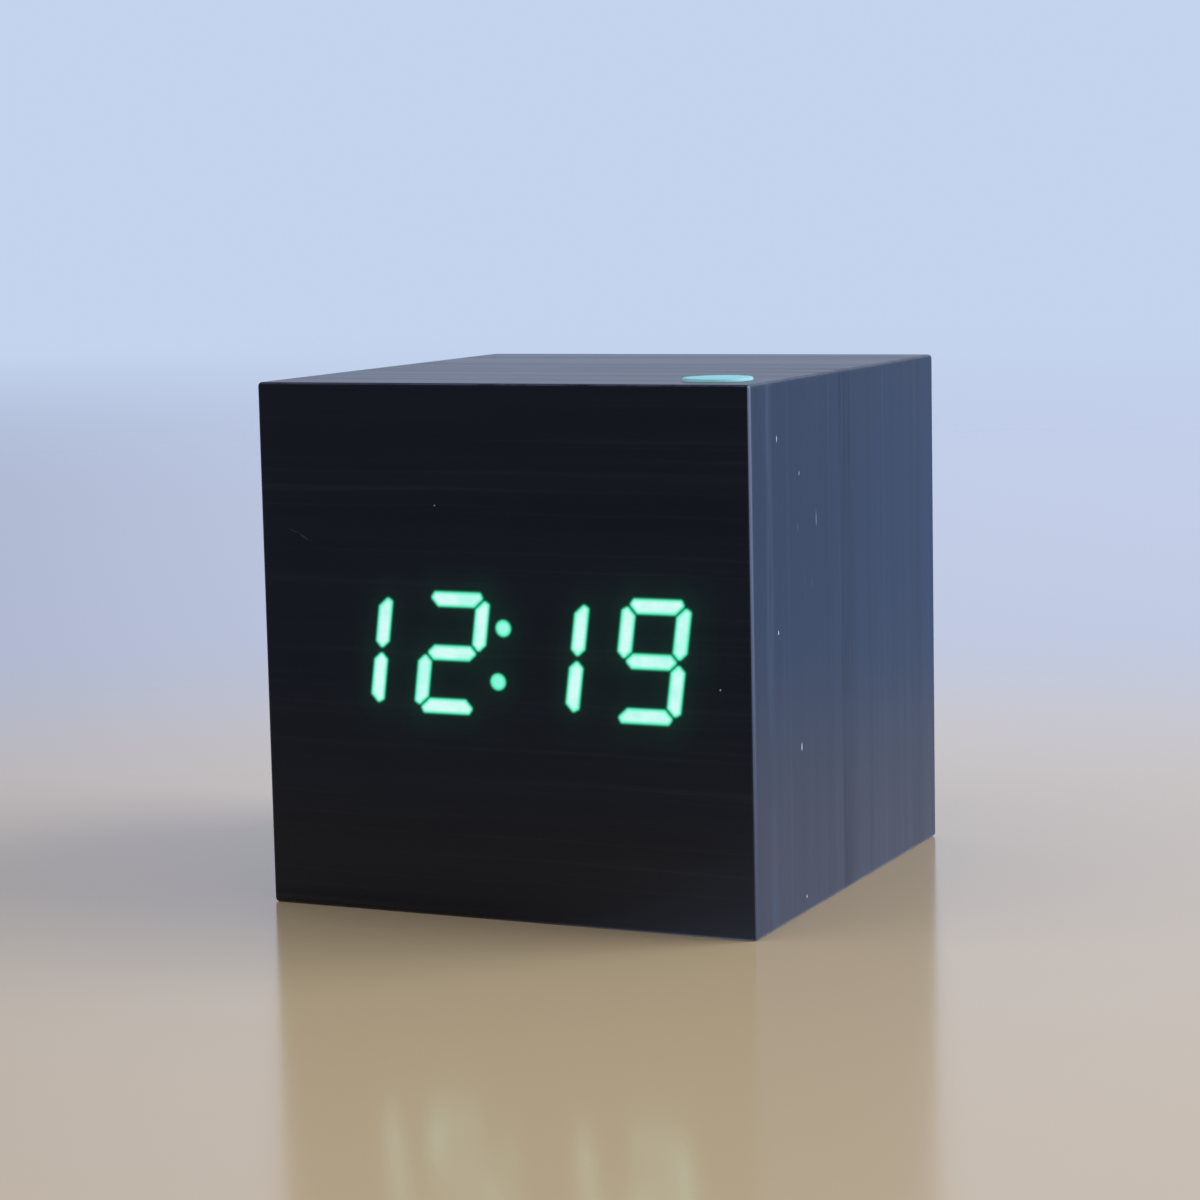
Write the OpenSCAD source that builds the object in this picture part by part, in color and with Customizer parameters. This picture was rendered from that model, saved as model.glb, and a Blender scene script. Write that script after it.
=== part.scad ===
// Wooden cube alarm clock. A fibreboard cube covered with dark wood-grain veneer, a green digital display
// that shines through the front veneer, a plastic base with a battery bay and a plastic back with buttons.
// Millimetres. Origin at the middle of the underside, +Z up, the display faces -Y.

/* [Casing] */
// Outside length of every edge of the cube
cube_side = 62; // [62:0.5:72]
// Thickness of the fibreboard panels
board_t = 3.5; // [3:0.1:4]
// Thickness of the veneer, which also rounds the outer edges
veneer_t = 0.5; // [0.3:0.05:0.7]
// How far the board edges sit back from the veneer edges underneath and behind
edge_set_back = 0.2; // [0.1:0.05:0.4]
// Side of the square wooden glue blocks
block_side = 7; // [6:0.25:7.5]
// Diameter of the round dot on the top
dot_d = 8; // [4:0.5:14]
// Distance from the dot's centre to the right edge
dot_from_right = 7; // [6:0.5:40]
// Distance from the dot's centre to the front edge
dot_from_front = 8; // [6:0.5:40]
// Thickness of the dot
dot_t = 0.4; // [0.2:0.05:1]

/* [Display] */
// The four digits shown
shown_time = [1, 2, 1, 9]; // [0:1:9]
// Overall height of a digit
digit_h = 14.2; // [12:0.1:15]
// Distance between the middles of two digits
digit_pitch = 12.5; // [11.5:0.1:12.6]
// Distance between the middles of a digit's left and right strokes
stroke_span = 6.75; // [6:0.05:7.5]
// Width of one segment
segment_w = 1.75; // [1.2:0.05:2]
// Gap between neighbouring segments
segment_gap = 0.25; // [0.15:0.05:0.5]
// Lean of the digits to the right, in degrees
slant = 7.5; // [0:0.5:10]
// Diameter of a colon dot
colon_d = 1.9; // [1.2:0.1:2.2]
// Height of a colon dot over or under the middle of the display
colon_rise = 3.1; // [2:0.1:4.5]
// Width of the display housing
housing_w = 50.3; // [50:0.1:51.5]
// Height of the display housing
housing_h = 19; // [18:0.1:20]
// Depth of the display module
housing_d = 8; // [7:0.1:9]

/* [Electronics] */
// Thickness of the circuit boards
circuit_t = 1.6; // [1:0.1:2]
// Width of the main board
main_board_w = 50; // [48:0.5:52]
// How far the main board rises over the middle of the display
main_board_rise = 17; // [16:0.5:22]
// Diameter of the buzzer
buzzer_d = 12; // [9:0.5:12]
// Height of the buzzer
buzzer_h = 8.5; // [4:0.5:9.5]
// Diameter of the clock's coin cell
coin_d = 12.5; // [10:0.5:12.5]
// Thickness of the clock's coin cell
coin_t = 2; // [1.6:0.1:2.5]
// How far the ribbon cable hangs down between its plugs
ribbon_sag = 6; // [2:0.5:9]
// Radius of an insulated battery lead
lead_r = 0.65; // [0.4:0.05:0.7]

/* [Back] */
// Thickness of the back cover
cover_t = 2.2; // [1.8:0.1:2.5]
// How far the back cover lies inside the rear edges of the casing
cover_recess = 1.2; // [1:0.1:1.4]
// Diameter of a button cap
button_d = 6.4; // [5:0.1:7.4]
// Distance between the button middles
button_pitch = 13; // [11.5:0.5:14]
// Height of the buttons over the underside
button_z = 45; // [44:0.5:47]
// How far a button travels
button_travel = 0.4; // [0.2:0.05:0.6]
// Height of the power socket over the underside
socket_z = 30; // [28:0.5:32]
// Diameter of the power plug that the socket takes
plug_d = 5.5; // [4:0.1:5.8]
// Diameter of the socket's middle pin
plug_pin_d = 2; // [1.3:0.1:2.1]

/* [Battery bay] */
// Diameter of a cell
cell_d = 10.5; // [10:0.1:10.8]
// Length of a cell with its button
cell_length = 44.5; // [43.5:0.1:44.5]
// Distance between the cell middles
cell_pitch = 11.2; // [11:0.1:11.5]
// Length of a compressed contact spring
spring_length = 3.7; // [3.4:0.1:3.7]
// Radius of the spring wire
spring_wire_r = 0.22; // [0.15:0.01:0.25]
// Thickness of the contact plates
plate_t = 0.4; // [0.25:0.05:0.4]
// Thickness of the base plate
base_t = 2; // [1.6:0.1:2.6]
// Thickness of the battery door
door_t = 1.4; // [1.2:0.1:1.6]
// How far the battery door lies inside the underside
door_recess = 0.2; // [0.1:0.05:0.4]

/* [Hidden] */
$fn = 64;

// Room between plastic pieces that are dropped into one another
fit_gap = 0.2;
// Room round a lit segment in its pocket
fill_gap = 0.03;
// Room round a screw shank, whose thread is left plain
thread_gap = 0.05;

// Casing planes
half = cube_side / 2;
core_half = half - veneer_t;
core_top = cube_side - veneer_t;
core_front_y = -half + veneer_t;
core_rear_y = half - edge_set_back;
cavity_half = core_half - board_t;
cavity_top = core_top - board_t;
cavity_front_y = core_front_y + board_t;

// Display and main board planes
display_z = half;
display_board_t = 1.2;
housing_back_y = core_front_y + housing_d - display_board_t;
main_front_y = core_front_y + housing_d;
main_rear_y = main_front_y + circuit_t;
fill_depth = 5.2;
chip_side = 0.8;
chip_h = 0.4;
pin_pitch = 2.54;
pin_side = 0.5;
pin_row_z = 7.62;
pins_in_row = 6;
pin_length = circuit_t + 1.6;

// Battery bay
bay_wall = 1.5;
ledge = 0.8;
seat_gap = 0.1;
ledge_z = door_recess + door_t + seat_gap;
rib_h = 0.9;
cell_room = 0.4;
cell_rest_z = door_recess + door_t + rib_h + seat_gap;
cell_z = cell_rest_z + cell_d / 2;
bay_top = cell_rest_z + cell_d + cell_room;
tray_top = bay_top + bay_wall;
bay_half_w = 1.5 * cell_pitch + fit_gap;
bay_length = cell_length + spring_length + 2 * plate_t;
bay_front_y = cavity_front_y + fit_gap + bay_wall + ledge;
bay_rear_y = bay_front_y + bay_length;
bay_outer_half = bay_half_w + ledge + bay_wall;
contact_room = plate_t + spring_length + 1;
divider_rise = 2.5;
tray_half = cavity_half - fit_gap;
door_front_y = bay_front_y - ledge + fit_gap;
door_rear_y = bay_rear_y + ledge - fit_gap;
door_half_w = bay_half_w + ledge - fit_gap;
plate_w = 9.6;
plate_z = 4.2;
plate_h = bay_top - plate_z - 0.3;
tab_w = 3;
tab_gap = 0.15;
tab_rise = 1.6;
tab_z = tray_top + tab_rise;

// Main board height and its screws
lead_room = 0.7;
main_board_z = tray_top + 2 * lead_r + lead_room;
main_board_h = display_z + main_board_rise - main_board_z;
pillar_side = 4.6;
pillar_set_in = 3.5;
pillar_top_gap = 1;
pillar_low_gap = 0.3;
pillar_x = main_board_w / 2 - pillar_set_in;
pillar_top_z = display_z + housing_h / 2 + pillar_top_gap + pillar_side / 2;
pillar_low_z = display_z - housing_h / 2 - pillar_low_gap - pillar_side / 2;

// Back planes
cover_y = half - cover_recess;
cover_back_y = cover_y - cover_t;
switch_body_h = 3.5;
switch_side = 6;
plunger_r = 1.75;
plunger_rise = 1.3;
flange_t = 1;
stem_l = 1;
flange_y = cover_back_y - fit_gap - flange_t;
plunger_y = flange_y - stem_l;
switch_board_y = plunger_y - plunger_rise - switch_body_h;
button_rise = 0.9;
button_x = [-button_pitch, 0, button_pitch];
switch_board_reach = 8;
switch_board_w = 2 * (button_pitch + switch_board_reach);
switch_board_drop = 6.5;
switch_board_rise = 5;
switch_board_z = socket_z - switch_board_drop;
switch_board_h = button_z - switch_board_z + switch_board_rise;
boss_reach = 4;
boss_r = 2.3;
boss_x = button_pitch + boss_reach;
boss_z = (button_z + socket_z) / 2 - 1;
socket_wall = 2;
nose_wall = 1.4;
nose_sink = 0.2;
socket_floor = 1;
socket_side = plug_d + 2 * socket_wall;
socket_nose_r = plug_d / 2 + nose_wall;
plug_gap = 0.1;

// Screws
screw_set_in = 0.4;
cover_screw_x = cavity_half - block_side / 2 - screw_set_in;
cover_screw_top_z = cavity_top - block_side / 2 - screw_set_in;
cover_screw_low_z = 5.2;
cover_screw_l = 9.5;
tray_boss_h = 9.5;
tray_boss_l = 10;
base_screw_y = cavity_front_y + block_side / 2 + screw_set_in;
base_screw_l = 9;
base_block_h = 11;
base_block_gap = 0.7;
top_block_l = 16;
big_screw_r = 1.3;
small_screw_r = 1;
screw_room = 0.1;
board_screw_l = 5;
switch_screw_l = 5.5;
head_land = 0.4;
function sunk_head_r(r) = 2 * r;
function pan_head_r(r) = 1.9 * r;
function tip_r(r) = 0.3 * r;
header_w = 9;
header_h = 4;
header_d = 4.4;
header_rise = 12.6;
header_drop = 1.5;
board_header_z = display_z + header_rise;
switch_header_z = button_z - header_drop;
ribbon_w = 6.35;
ribbon_t = 0.9;
plug_x = 9;
plug_w = 7.4;
plug_h = 5.4;
plug_depth = 6;
plug_lift = 0.4;
plug_z = main_board_z + plug_h / 2 + plug_lift;

board_colour = [0.36, 0.28, 0.2];
veneer_colour = [0.1, 0.1, 0.12];
plastic_colour = [0.12, 0.12, 0.13];
circuit_colour = [0.1, 0.3, 0.16];
steel_colour = [0.72, 0.73, 0.75];
lit_colour = [0.55, 1, 0.75];

// Extrudes a profile drawn in X and Z from y0 to y1
module along_y(y0, y1) {
    translate([0, y1, 0]) rotate([90, 0, 0]) linear_extrude(y1 - y0) children();
}

// Extrudes a profile drawn in Y and Z from x0 to x1
module along_x(x0, x1) {
    translate([x0, 0, 0]) rotate([90, 0, 90]) linear_extrude(x1 - x0) children();
}

// Places round things whose axis runs along Y, starting at y and growing to the rear
module facing_rear(x, y, z) {
    translate([x, y, z]) rotate([-90, 0, 0]) children();
}

// Rectangle with rounded corners, centred
module eased_square(w, h, r) {
    square([w - 2 * r, h], center = true);
    square([w, h - 2 * r], center = true);
    for (sx = [-1, 1], sz = [-1, 1])
        translate([sx * (w / 2 - r), sz * (h / 2 - r)]) circle(r);
}

// Box given by its least corner and its greatest corner
module span_box(a, b) {
    translate(a) cube(b - a);
}

// Screw along +Z with its head's outer face at z = 0: sunk head, plain shank and a cross slot
module sunk_screw(r, l) {
    difference() {
        union() {
            cylinder(h = head_land, r = sunk_head_r(r));
            translate([0, 0, head_land]) cylinder(h = r, r1 = sunk_head_r(r), r2 = r);
            cylinder(h = l - r, r = r);
            translate([0, 0, l - r]) cylinder(h = r, r1 = r, r2 = tip_r(r));
        }
        for (a = [0, 90])
            rotate([0, 0, a]) cube([2.2 * r, 0.5 * r, 1.4 * r], center = true);
    }
}

// Screw along +Z with its flat-bottomed head over z = 0
module pan_screw(r, l) {
    difference() {
        union() {
            translate([0, 0, -1.1 * r]) cylinder(h = 0.6 * r, r1 = 1.4 * r, r2 = pan_head_r(r));
            translate([0, 0, -0.5 * r]) cylinder(h = 0.5 * r, r = pan_head_r(r));
            translate([0, 0, -0.2 * r]) cylinder(h = l - 0.8 * r, r = r);
            translate([0, 0, l - r]) cylinder(h = r, r1 = r, r2 = tip_r(r));
        }
        for (a = [0, 90])
            rotate([0, 0, a]) translate([0, 0, -r]) cube([2 * r, 0.45 * r, r], center = true);
    }
}

// Hole for a sunk screw along +Z, from the outer face at z = 0
module sunk_hole(r, l) {
    sunk = head_land + fit_gap / 2;
    translate([0, 0, -sunk]) cylinder(h = 2 * sunk, r = sunk_head_r(r) + screw_room);
    translate([0, 0, sunk]) cylinder(h = r, r1 = sunk_head_r(r) + screw_room, r2 = r + screw_room);
    cylinder(h = l, r = r + screw_room);
}

function unit(v) = v / norm(v);

// Round tube along a row of points, closed at both ends. The side vector must not run along the path.
module swept_tube(path, r, sides, side) {
    last = len(path) - 1;
    ring = [for (i = [0:last])
        let (t = unit(path[min(i + 1, last)] - path[max(i - 1, 0)]),
            n = unit(cross(t, side)),
            b = cross(t, n))
        for (k = [0:sides - 1])
            path[i] + r * (cos(360 * k / sides) * n + sin(360 * k / sides) * b)];
    faces = [for (i = [0:last - 1], k = [0:sides - 1])
        let (a = i * sides + k, b = i * sides + (k + 1) % sides)
        each [[a, b + sides, b], [a, a + sides, b + sides]]];
    polyhedron(ring, concat(faces,
        [[for (k = [0:sides - 1]) k]],
        [[for (k = [sides - 1:-1:0]) last * sides + k]]));
}

// Smooth path from a to d that leaves towards b and arrives from c
function bend(a, b, c, d, steps) = [for (i = [0:steps])
    let (t = i / steps, u = 1 - t)
    u * u * u * a + 3 * u * u * t * b + 3 * u * t * t * c + t * t * t * d];

// Casing: four mitred panels, glue blocks and veneer

module front_panel() {
    color(board_colour)
    difference() {
        intersection() {
            linear_extrude(cube_side)
                polygon([[-core_half, core_front_y], [core_half, core_front_y],
                    [cavity_half, cavity_front_y], [-cavity_half, cavity_front_y]]);
            along_x(-half, half)
                polygon([[core_front_y, edge_set_back], [core_front_y, core_top],
                    [cavity_front_y, cavity_top], [cavity_front_y, edge_set_back]]);
        }
        translate([0, core_front_y + board_t / 2, display_z])
            cube([housing_w + 2 * fit_gap, 2 * board_t, housing_h + 2 * fit_gap], center = true);
    }
}

module top_panel() {
    color(board_colour)
    intersection() {
        along_y(-half, half)
            polygon([[-core_half, core_top], [core_half, core_top],
                [cavity_half, cavity_top], [-cavity_half, cavity_top]]);
        along_x(-half, half)
            polygon([[core_front_y, core_top], [core_rear_y, core_top],
                [core_rear_y, cavity_top], [cavity_front_y, cavity_top]]);
    }
}

module side_panel(side) {
    color(board_colour)
    intersection() {
        along_y(-half, half)
            polygon([[side * core_half, edge_set_back], [side * core_half, core_top],
                [side * cavity_half, cavity_top], [side * cavity_half, edge_set_back]]);
        linear_extrude(cube_side)
            polygon([[side * core_half, core_front_y], [side * core_half, core_rear_y],
                [side * cavity_half, core_rear_y], [side * cavity_half, cavity_front_y]]);
    }
}

module left_panel() {
    side_panel(-1);
}

module right_panel() {
    side_panel(1);
}

// Inner face of the low blocks, which stand between the battery bay and the side panels
base_block_in = bay_outer_half + base_block_gap;

// Two blocks in the top rear corners take the cover screws, two low ones in front take the base screws
module glue_blocks() {
    color([0.72, 0.58, 0.4])
    for (side = [-1, 1]) {
        difference() {
            translate([side * (cavity_half - block_side / 2), cover_back_y - top_block_l / 2,
                cavity_top - block_side / 2])
                cube([block_side, top_block_l, block_side], center = true);
            facing_rear(side * cover_screw_x, cover_back_y - cover_screw_l, cover_screw_top_z)
                cylinder(h = 2 * cover_screw_l, r = big_screw_r + thread_gap);
        }
        difference() {
            translate([side * (cavity_half + base_block_in) / 2, cavity_front_y + block_side / 2,
                base_t + base_block_h / 2])
                cube([cavity_half - base_block_in, block_side, base_block_h], center = true);
            translate([side * cover_screw_x, base_screw_y, 0])
                cylinder(h = base_t + base_screw_l, r = big_screw_r + thread_gap);
        }
    }
}

// One sheet folded over the left side, the top and the right side
module side_veneer() {
    color(veneer_colour)
    along_y(core_front_y, half)
        difference() {
            translate([0, half]) eased_square(cube_side, cube_side, veneer_t);
            translate([-core_half, -1]) square([2 * core_half, core_top + 1]);
        }
}

// Thin sheet that hides the display until its segments light
module front_veneer() {
    color(veneer_colour)
    intersection() {
        along_y(-half, core_front_y)
            translate([0, half]) eased_square(cube_side, cube_side, veneer_t);
        along_x(-half, half)
            union() {
                translate([-half, veneer_t]) square([veneer_t, cube_side - 2 * veneer_t]);
                for (z = [veneer_t, core_top]) translate([core_front_y, z]) circle(veneer_t);
            }
        linear_extrude(cube_side)
            union() {
                translate([-core_half, -half]) square([2 * core_half, veneer_t]);
                for (x = [-core_half, core_half]) translate([x, core_front_y]) circle(veneer_t);
            }
    }
}

// Low round pad with an eased rim
module top_dot() {
    rim = dot_t / 2;
    color([0.5, 0.78, 0.82])
    translate([half - dot_from_right, -half + dot_from_front, cube_side]) {
        cylinder(h = dot_t - rim, d = dot_d);
        translate([0, 0, dot_t - rim]) cylinder(h = rim, d1 = dot_d, d2 = dot_d - 2 * rim);
    }
}

// Display: a moulded reflector block with one leaning pocket for every segment

digit_letters = "ABCDEFG";
lit_letters = ["ABCDEF", "BC", "ABGED", "ABGCD", "FGBC", "AFGCD", "AFGECD", "ABC", "ABCDEFG", "ABCDFG"];
function is_lit(i, s) = len(search(s, lit_letters[shown_time[i]])) > 0;
function digit_x(i) = (i - 1.5) * digit_pitch;

// Outlines of an upright digit's segments for a segment width w and a gap g, about the digit's middle
stroke_rise = (digit_h - segment_w) / 2;
function nib(w) = 0.4 * w;
function top_end(w, g) = [stroke_span / 2 + w / 2 - g / sqrt(2), stroke_rise + w / 2];
function top_bar(w, g) = let (e = top_end(w, g), n = nib(w), low = stroke_rise - w / 2) [
    [e.x - w, low], [e.x - n, e.y - n], [e.x - 1.6 * n, e.y],
    [1.6 * n - e.x, e.y], [n - e.x, e.y - n], [w - e.x, low]];
function side_bar(w, g) =
    let (x = stroke_span / 2, s = g / sqrt(2), top = stroke_rise + w / 2 - s, n = nib(w)) [
    [x - w / 2, top - w], [x + w / 2 - n, top - n], [x + w / 2, top - 1.6 * n],
    [x + w / 2, w / 2 + s], [x, s], [x - w / 2, w / 2 + s]];
function middle_bar(w, g) = let (e = stroke_span / 2 - g / sqrt(2)) [
    [e, 0], [e - w / 2, w / 2], [w / 2 - e, w / 2], [-e, 0], [w / 2 - e, -w / 2], [e - w / 2, -w / 2]];
function flipped(points, fx, fz) = [for (p = points) [fx * p.x, fz * p.y]];
function outline(s, w, g) =
    s == "A" ? top_bar(w, g) :
    s == "B" ? side_bar(w, g) :
    s == "C" ? flipped(side_bar(w, g), 1, -1) :
    s == "D" ? flipped(top_bar(w, g), 1, -1) :
    s == "E" ? flipped(side_bar(w, g), -1, -1) :
    s == "F" ? flipped(side_bar(w, g), -1, 1) :
    middle_bar(w, g);
function leaning(points) = [for (p = points) [p.x + p.y * tan(slant), p.y]];
function middle_of(points) = [for (axis = [0, 1])
    let (values = [for (p = points) p[axis]]) (max(values) + min(values)) / 2];

// Outline of one segment in its place on the display, grown inwards by the room given
module segment_outline(i, s, room) {
    translate([digit_x(i), display_z])
        polygon(leaning(outline(s, segment_w - 2 * room, segment_gap + 2 * room)));
}

module colon_outline(room) {
    for (rise = [-colon_rise, colon_rise])
        translate([rise * tan(slant), display_z + rise]) circle(d = colon_d - 2 * room);
}

module display_housing() {
    color([0.2, 0.21, 0.22])
    difference() {
        along_y(core_front_y, housing_back_y)
            translate([0, display_z]) square([housing_w, housing_h], center = true);
        for (i = [0:3], s = digit_letters)
            along_y(core_front_y - 1, housing_back_y + 1) segment_outline(i, s, 0);
        along_y(core_front_y - 1, housing_back_y + 1) colon_outline(0);
    }
}

// The clear filling of the segments of one digit that are lit, or of those that are dark
module digit_filling(i, lit) {
    for (s = digit_letters)
        if (is_lit(i, s) == lit)
            along_y(core_front_y, core_front_y + fill_depth) segment_outline(i, s, fill_gap);
}

module hour_tens() {
    color(lit_colour) digit_filling(0, true);
}

module hour_units() {
    color(lit_colour) digit_filling(1, true);
}

module minute_tens() {
    color(lit_colour) digit_filling(2, true);
}

module minute_units() {
    color(lit_colour) digit_filling(3, true);
}

module colon_dots() {
    color(lit_colour) along_y(core_front_y, core_front_y + fill_depth) colon_outline(fill_gap);
}

module dark_segments() {
    color([0.7, 0.72, 0.7])
    for (i = [0:3]) digit_filling(i, false);
}

// One light source behind every segment and colon dot
module led_chips() {
    color([0.9, 0.85, 0.45]) {
        for (i = [0:3], s = digit_letters)
            let (c = middle_of(leaning(outline(s, segment_w, segment_gap))))
            translate([digit_x(i) + c.x, housing_back_y - chip_h / 2, display_z + c.y])
                cube([chip_side, chip_h, chip_side], center = true);
        for (rise = [-colon_rise, colon_rise])
            translate([rise * tan(slant), housing_back_y - chip_h / 2, display_z + rise])
                cube([chip_side, chip_h, chip_side], center = true);
    }
}

module display_board() {
    color([0.85, 0.85, 0.82])
    translate([0, housing_back_y + display_board_t / 2, display_z])
        cube([housing_w, display_board_t, housing_h], center = true);
}

// Places a child at every pin of the display
module at_pins() {
    for (k = [0:pins_in_row - 1], row = [-1, 1])
        translate([(k - (pins_in_row - 1) / 2) * pin_pitch, main_front_y, display_z + row * pin_row_z])
            children();
}

module display_pins() {
    color(steel_colour)
    at_pins() translate([-pin_side / 2, 0, -pin_side / 2]) cube([pin_side, pin_length, pin_side]);
}

// Main board with the clock circuit, screwed to four pillars on the front panel

module at_pillars() {
    for (side = [-1, 1], z = [pillar_low_z, pillar_top_z])
        translate([side * pillar_x, 0, z]) children();
}

module main_board() {
    color(circuit_colour)
    difference() {
        translate([-main_board_w / 2, main_front_y, main_board_z])
            cube([main_board_w, circuit_t, main_board_h]);
        at_pins() rotate([-90, 0, 0]) translate([0, 0, -1]) cylinder(h = circuit_t + 2, r = pin_side);
        at_pillars() facing_rear(0, main_front_y - 1, 0)
            cylinder(h = circuit_t + 2, r = small_screw_r + screw_room);
    }
}

module board_pillars() {
    color([0.72, 0.58, 0.4])
    at_pillars() difference() {
        span_box([-pillar_side / 2, cavity_front_y, -pillar_side / 2],
            [pillar_side / 2, main_front_y, pillar_side / 2]);
        facing_rear(0, cavity_front_y + 0.4, 0)
            cylinder(h = housing_d, r = small_screw_r + thread_gap);
    }
}

module board_screws() {
    color(steel_colour)
    at_pillars() translate([0, main_rear_y, 0]) rotate([90, 0, 0]) pan_screw(small_screw_r, board_screw_l);
}

module at_chip() {
    translate([0, main_rear_y, display_z]) children();
}

chip_w = 17.9;
chip_d = 7.5;
chip_lift = 0.15;
chip_top = 2.4;
chip_mark_r = 0.5;
chip_notch_r = 0.8;
chip_mark_d = 0.2;
lead_pitch = 1.27;
leads_in_row = 14;
leg_w = 0.4;
leg_t = 0.3;
leg_top = 1.4;
leg_knee = 0.7;
leg_slope = 0.2;
leg_reach = 1.6;

module clock_chip() {
    color([0.08, 0.08, 0.09])
    at_chip() difference() {
        span_box([-chip_w / 2, chip_lift, -chip_d / 2], [chip_w / 2, chip_top, chip_d / 2]);
        facing_rear(-chip_w / 2 + 3 * chip_mark_r, chip_top - chip_mark_d, -chip_d / 2 + 3 * chip_mark_r)
            cylinder(h = 1, r = chip_mark_r);
        facing_rear(-chip_w / 2, chip_top - chip_mark_d, 0) cylinder(h = 1, r = chip_notch_r);
    }
}

// Bent legs along both long sides of the chip
module chip_leads() {
    color(steel_colour)
    at_chip()
        for (k = [0:leads_in_row - 1], row = [0, 1])
            mirror([0, 0, row])
                translate([(k - (leads_in_row - 1) / 2) * lead_pitch, 0, 0])
                    along_x(-leg_w / 2, leg_w / 2)
                        translate([0, chip_d / 2])
                            polygon([[leg_top - leg_t, 0], [leg_top, 0], [leg_top, leg_knee],
                                [leg_t, leg_knee + leg_slope], [leg_t, leg_reach], [0, leg_reach],
                                [0, leg_knee - leg_slope / 2], [leg_top - leg_t, leg_knee - leg_t]]);
}

can_r = 1;
can_l = 6;
can_lift = 0.05;
can_rise = 3.2;
wire_side = 0.3;
wire_l = 1.8;
wire_spread = 0.7;

// Timing crystal in a small can that lies on the board, with two bent wires
module crystal() {
    color(steel_colour)
    translate([-can_l, main_rear_y + can_r + can_lift, main_board_z + can_rise]) {
        rotate([0, 90, 0]) cylinder(h = can_l, r = can_r);
        for (side = [-1, 1])
            translate([0, 0, side * wire_spread / 2]) {
                span_box([-wire_l, -wire_side / 2, -wire_side / 2], [0, wire_side / 2, wire_side / 2]);
                span_box([-wire_l, -can_r, -wire_side / 2],
                    [wire_side - wire_l, wire_side / 2, wire_side / 2]);
            }
    }
}

// Height at which a round piece of radius r, at x from the middle, clears the upper pillar's screw
function under_screw(x, r, room) =
    pillar_top_z - sqrt(pow(r + pan_head_r(small_screw_r) + room, 2) - pow(pillar_x - x, 2));

buzzer_chip_room = 1.55;
buzzer_screw_room = 0.95;
buzzer_hole_r = 1.1;
buzzer_hole_d = 1.5;
buzzer_x = chip_w / 2 + buzzer_chip_room + buzzer_d / 2;
buzzer_z = under_screw(buzzer_x, buzzer_d / 2, buzzer_screw_room);

module buzzer() {
    color([0.1, 0.1, 0.1])
    facing_rear(-buzzer_x, main_rear_y, buzzer_z) difference() {
        cylinder(h = buzzer_h, d = buzzer_d);
        translate([0, 0, buzzer_h - buzzer_hole_d]) cylinder(h = 2 * buzzer_hole_d, r = buzzer_hole_r);
    }
}

mic_r = 3;
mic_h = 4.5;
mic_edge = 0.7;
mic_sink = 0.5;
mic_room = 1.3;
mic_rise = 6.5;

// Sound pick-up in a small can beside the plug
module microphone() {
    color([0.6, 0.61, 0.62])
    facing_rear(plug_x + plug_w / 2 + mic_room + mic_r, main_rear_y, main_board_z + mic_rise) difference() {
        cylinder(h = mic_h, r = mic_r);
        translate([0, 0, mic_h - mic_sink]) cylinder(h = 2 * mic_sink, r = mic_r - mic_edge);
    }
}

drum_r = 2.5;
drum_h = 7;
drum_x = 16;
drum_rise = 7;
crimp = 0.2;
crimp_z = 1;

// Capacitor drum with a crimp near its foot
module capacitor() {
    color([0.12, 0.13, 0.2])
    facing_rear(-drum_x, main_rear_y, main_board_z + drum_rise) rotate_extrude()
        polygon([[0, 0], [drum_r - crimp / 2, 0], [drum_r, crimp_z - 2 * crimp], [drum_r - crimp, crimp_z],
            [drum_r, crimp_z + 2 * crimp], [drum_r, drum_h - crimp], [drum_r - crimp, drum_h], [0, drum_h]]);
}

resistor_w = 0.8;
resistor_h = 0.5;
resistor_l = 1.6;
resistor_pitch = 2;
resistor_rise = 1.9;
resistor_count = 7;

// Row of small chip resistors over the upper pins
module resistors() {
    color([0.15, 0.15, 0.16])
    for (k = [0:resistor_count - 1])
        translate([(k - (resistor_count - 1) / 2) * resistor_pitch, main_rear_y + resistor_h / 2,
            display_z + pin_row_z + resistor_rise])
            cube([resistor_w, resistor_h, resistor_l], center = true);
}

coin_wall = 0.8;
coin_floor = 0.6;
coin_gap = 0.15;
coin_step = 0.4;
coin_chip_room = 0.55;
coin_screw_room = 0.5;
arm_l = 2;
arm_w = 3;
holder_r = coin_d / 2 + coin_gap + coin_wall;
holder_h = coin_t + coin_wall;
coin_x = chip_w / 2 + coin_chip_room + holder_r;
coin_z = under_screw(coin_x, holder_r, coin_screw_room);

// Cup with two arms that keep the coin cell down
module coin_holder() {
    color([0.16, 0.16, 0.17])
    facing_rear(coin_x, main_rear_y, coin_z) {
        difference() {
            cylinder(h = holder_h, r = holder_r);
            translate([0, 0, coin_floor]) cylinder(h = holder_h, d = coin_d + 2 * coin_gap);
        }
        for (side = [-1, 1])
            translate([side * (coin_d / 2 - coin_gap), 0, holder_h + coin_wall / 2 - seat_gap])
                cube([arm_l, arm_w, coin_wall], center = true);
    }
}

module coin_cell() {
    color(steel_colour)
    facing_rear(coin_x, main_rear_y + coin_floor, coin_z) {
        cylinder(h = coin_t - coin_step, d = coin_d);
        cylinder(h = coin_t, d = coin_d - 4 * coin_step);
    }
}

lead_spread = 1.25;
lead_socket_d = 2;

// Two-way plug of the battery leads
module lead_plug() {
    color([0.88, 0.87, 0.82])
    difference() {
        translate([plug_x - plug_w / 2, main_rear_y, plug_z - plug_h / 2])
            cube([plug_w, plug_depth, plug_h]);
        for (side = [-1, 1])
            facing_rear(plug_x + side * lead_spread, main_rear_y + plug_depth - lead_socket_d, plug_z)
                cylinder(h = 2 * lead_socket_d, r = lead_r + seat_gap);
    }
}

module header_block(y, z) {
    color([0.85, 0.84, 0.8])
    translate([-header_w / 2, y, z - header_h / 2]) cube([header_w, header_d, header_h]);
}

module board_header() {
    header_block(main_rear_y, board_header_z);
}

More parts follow.
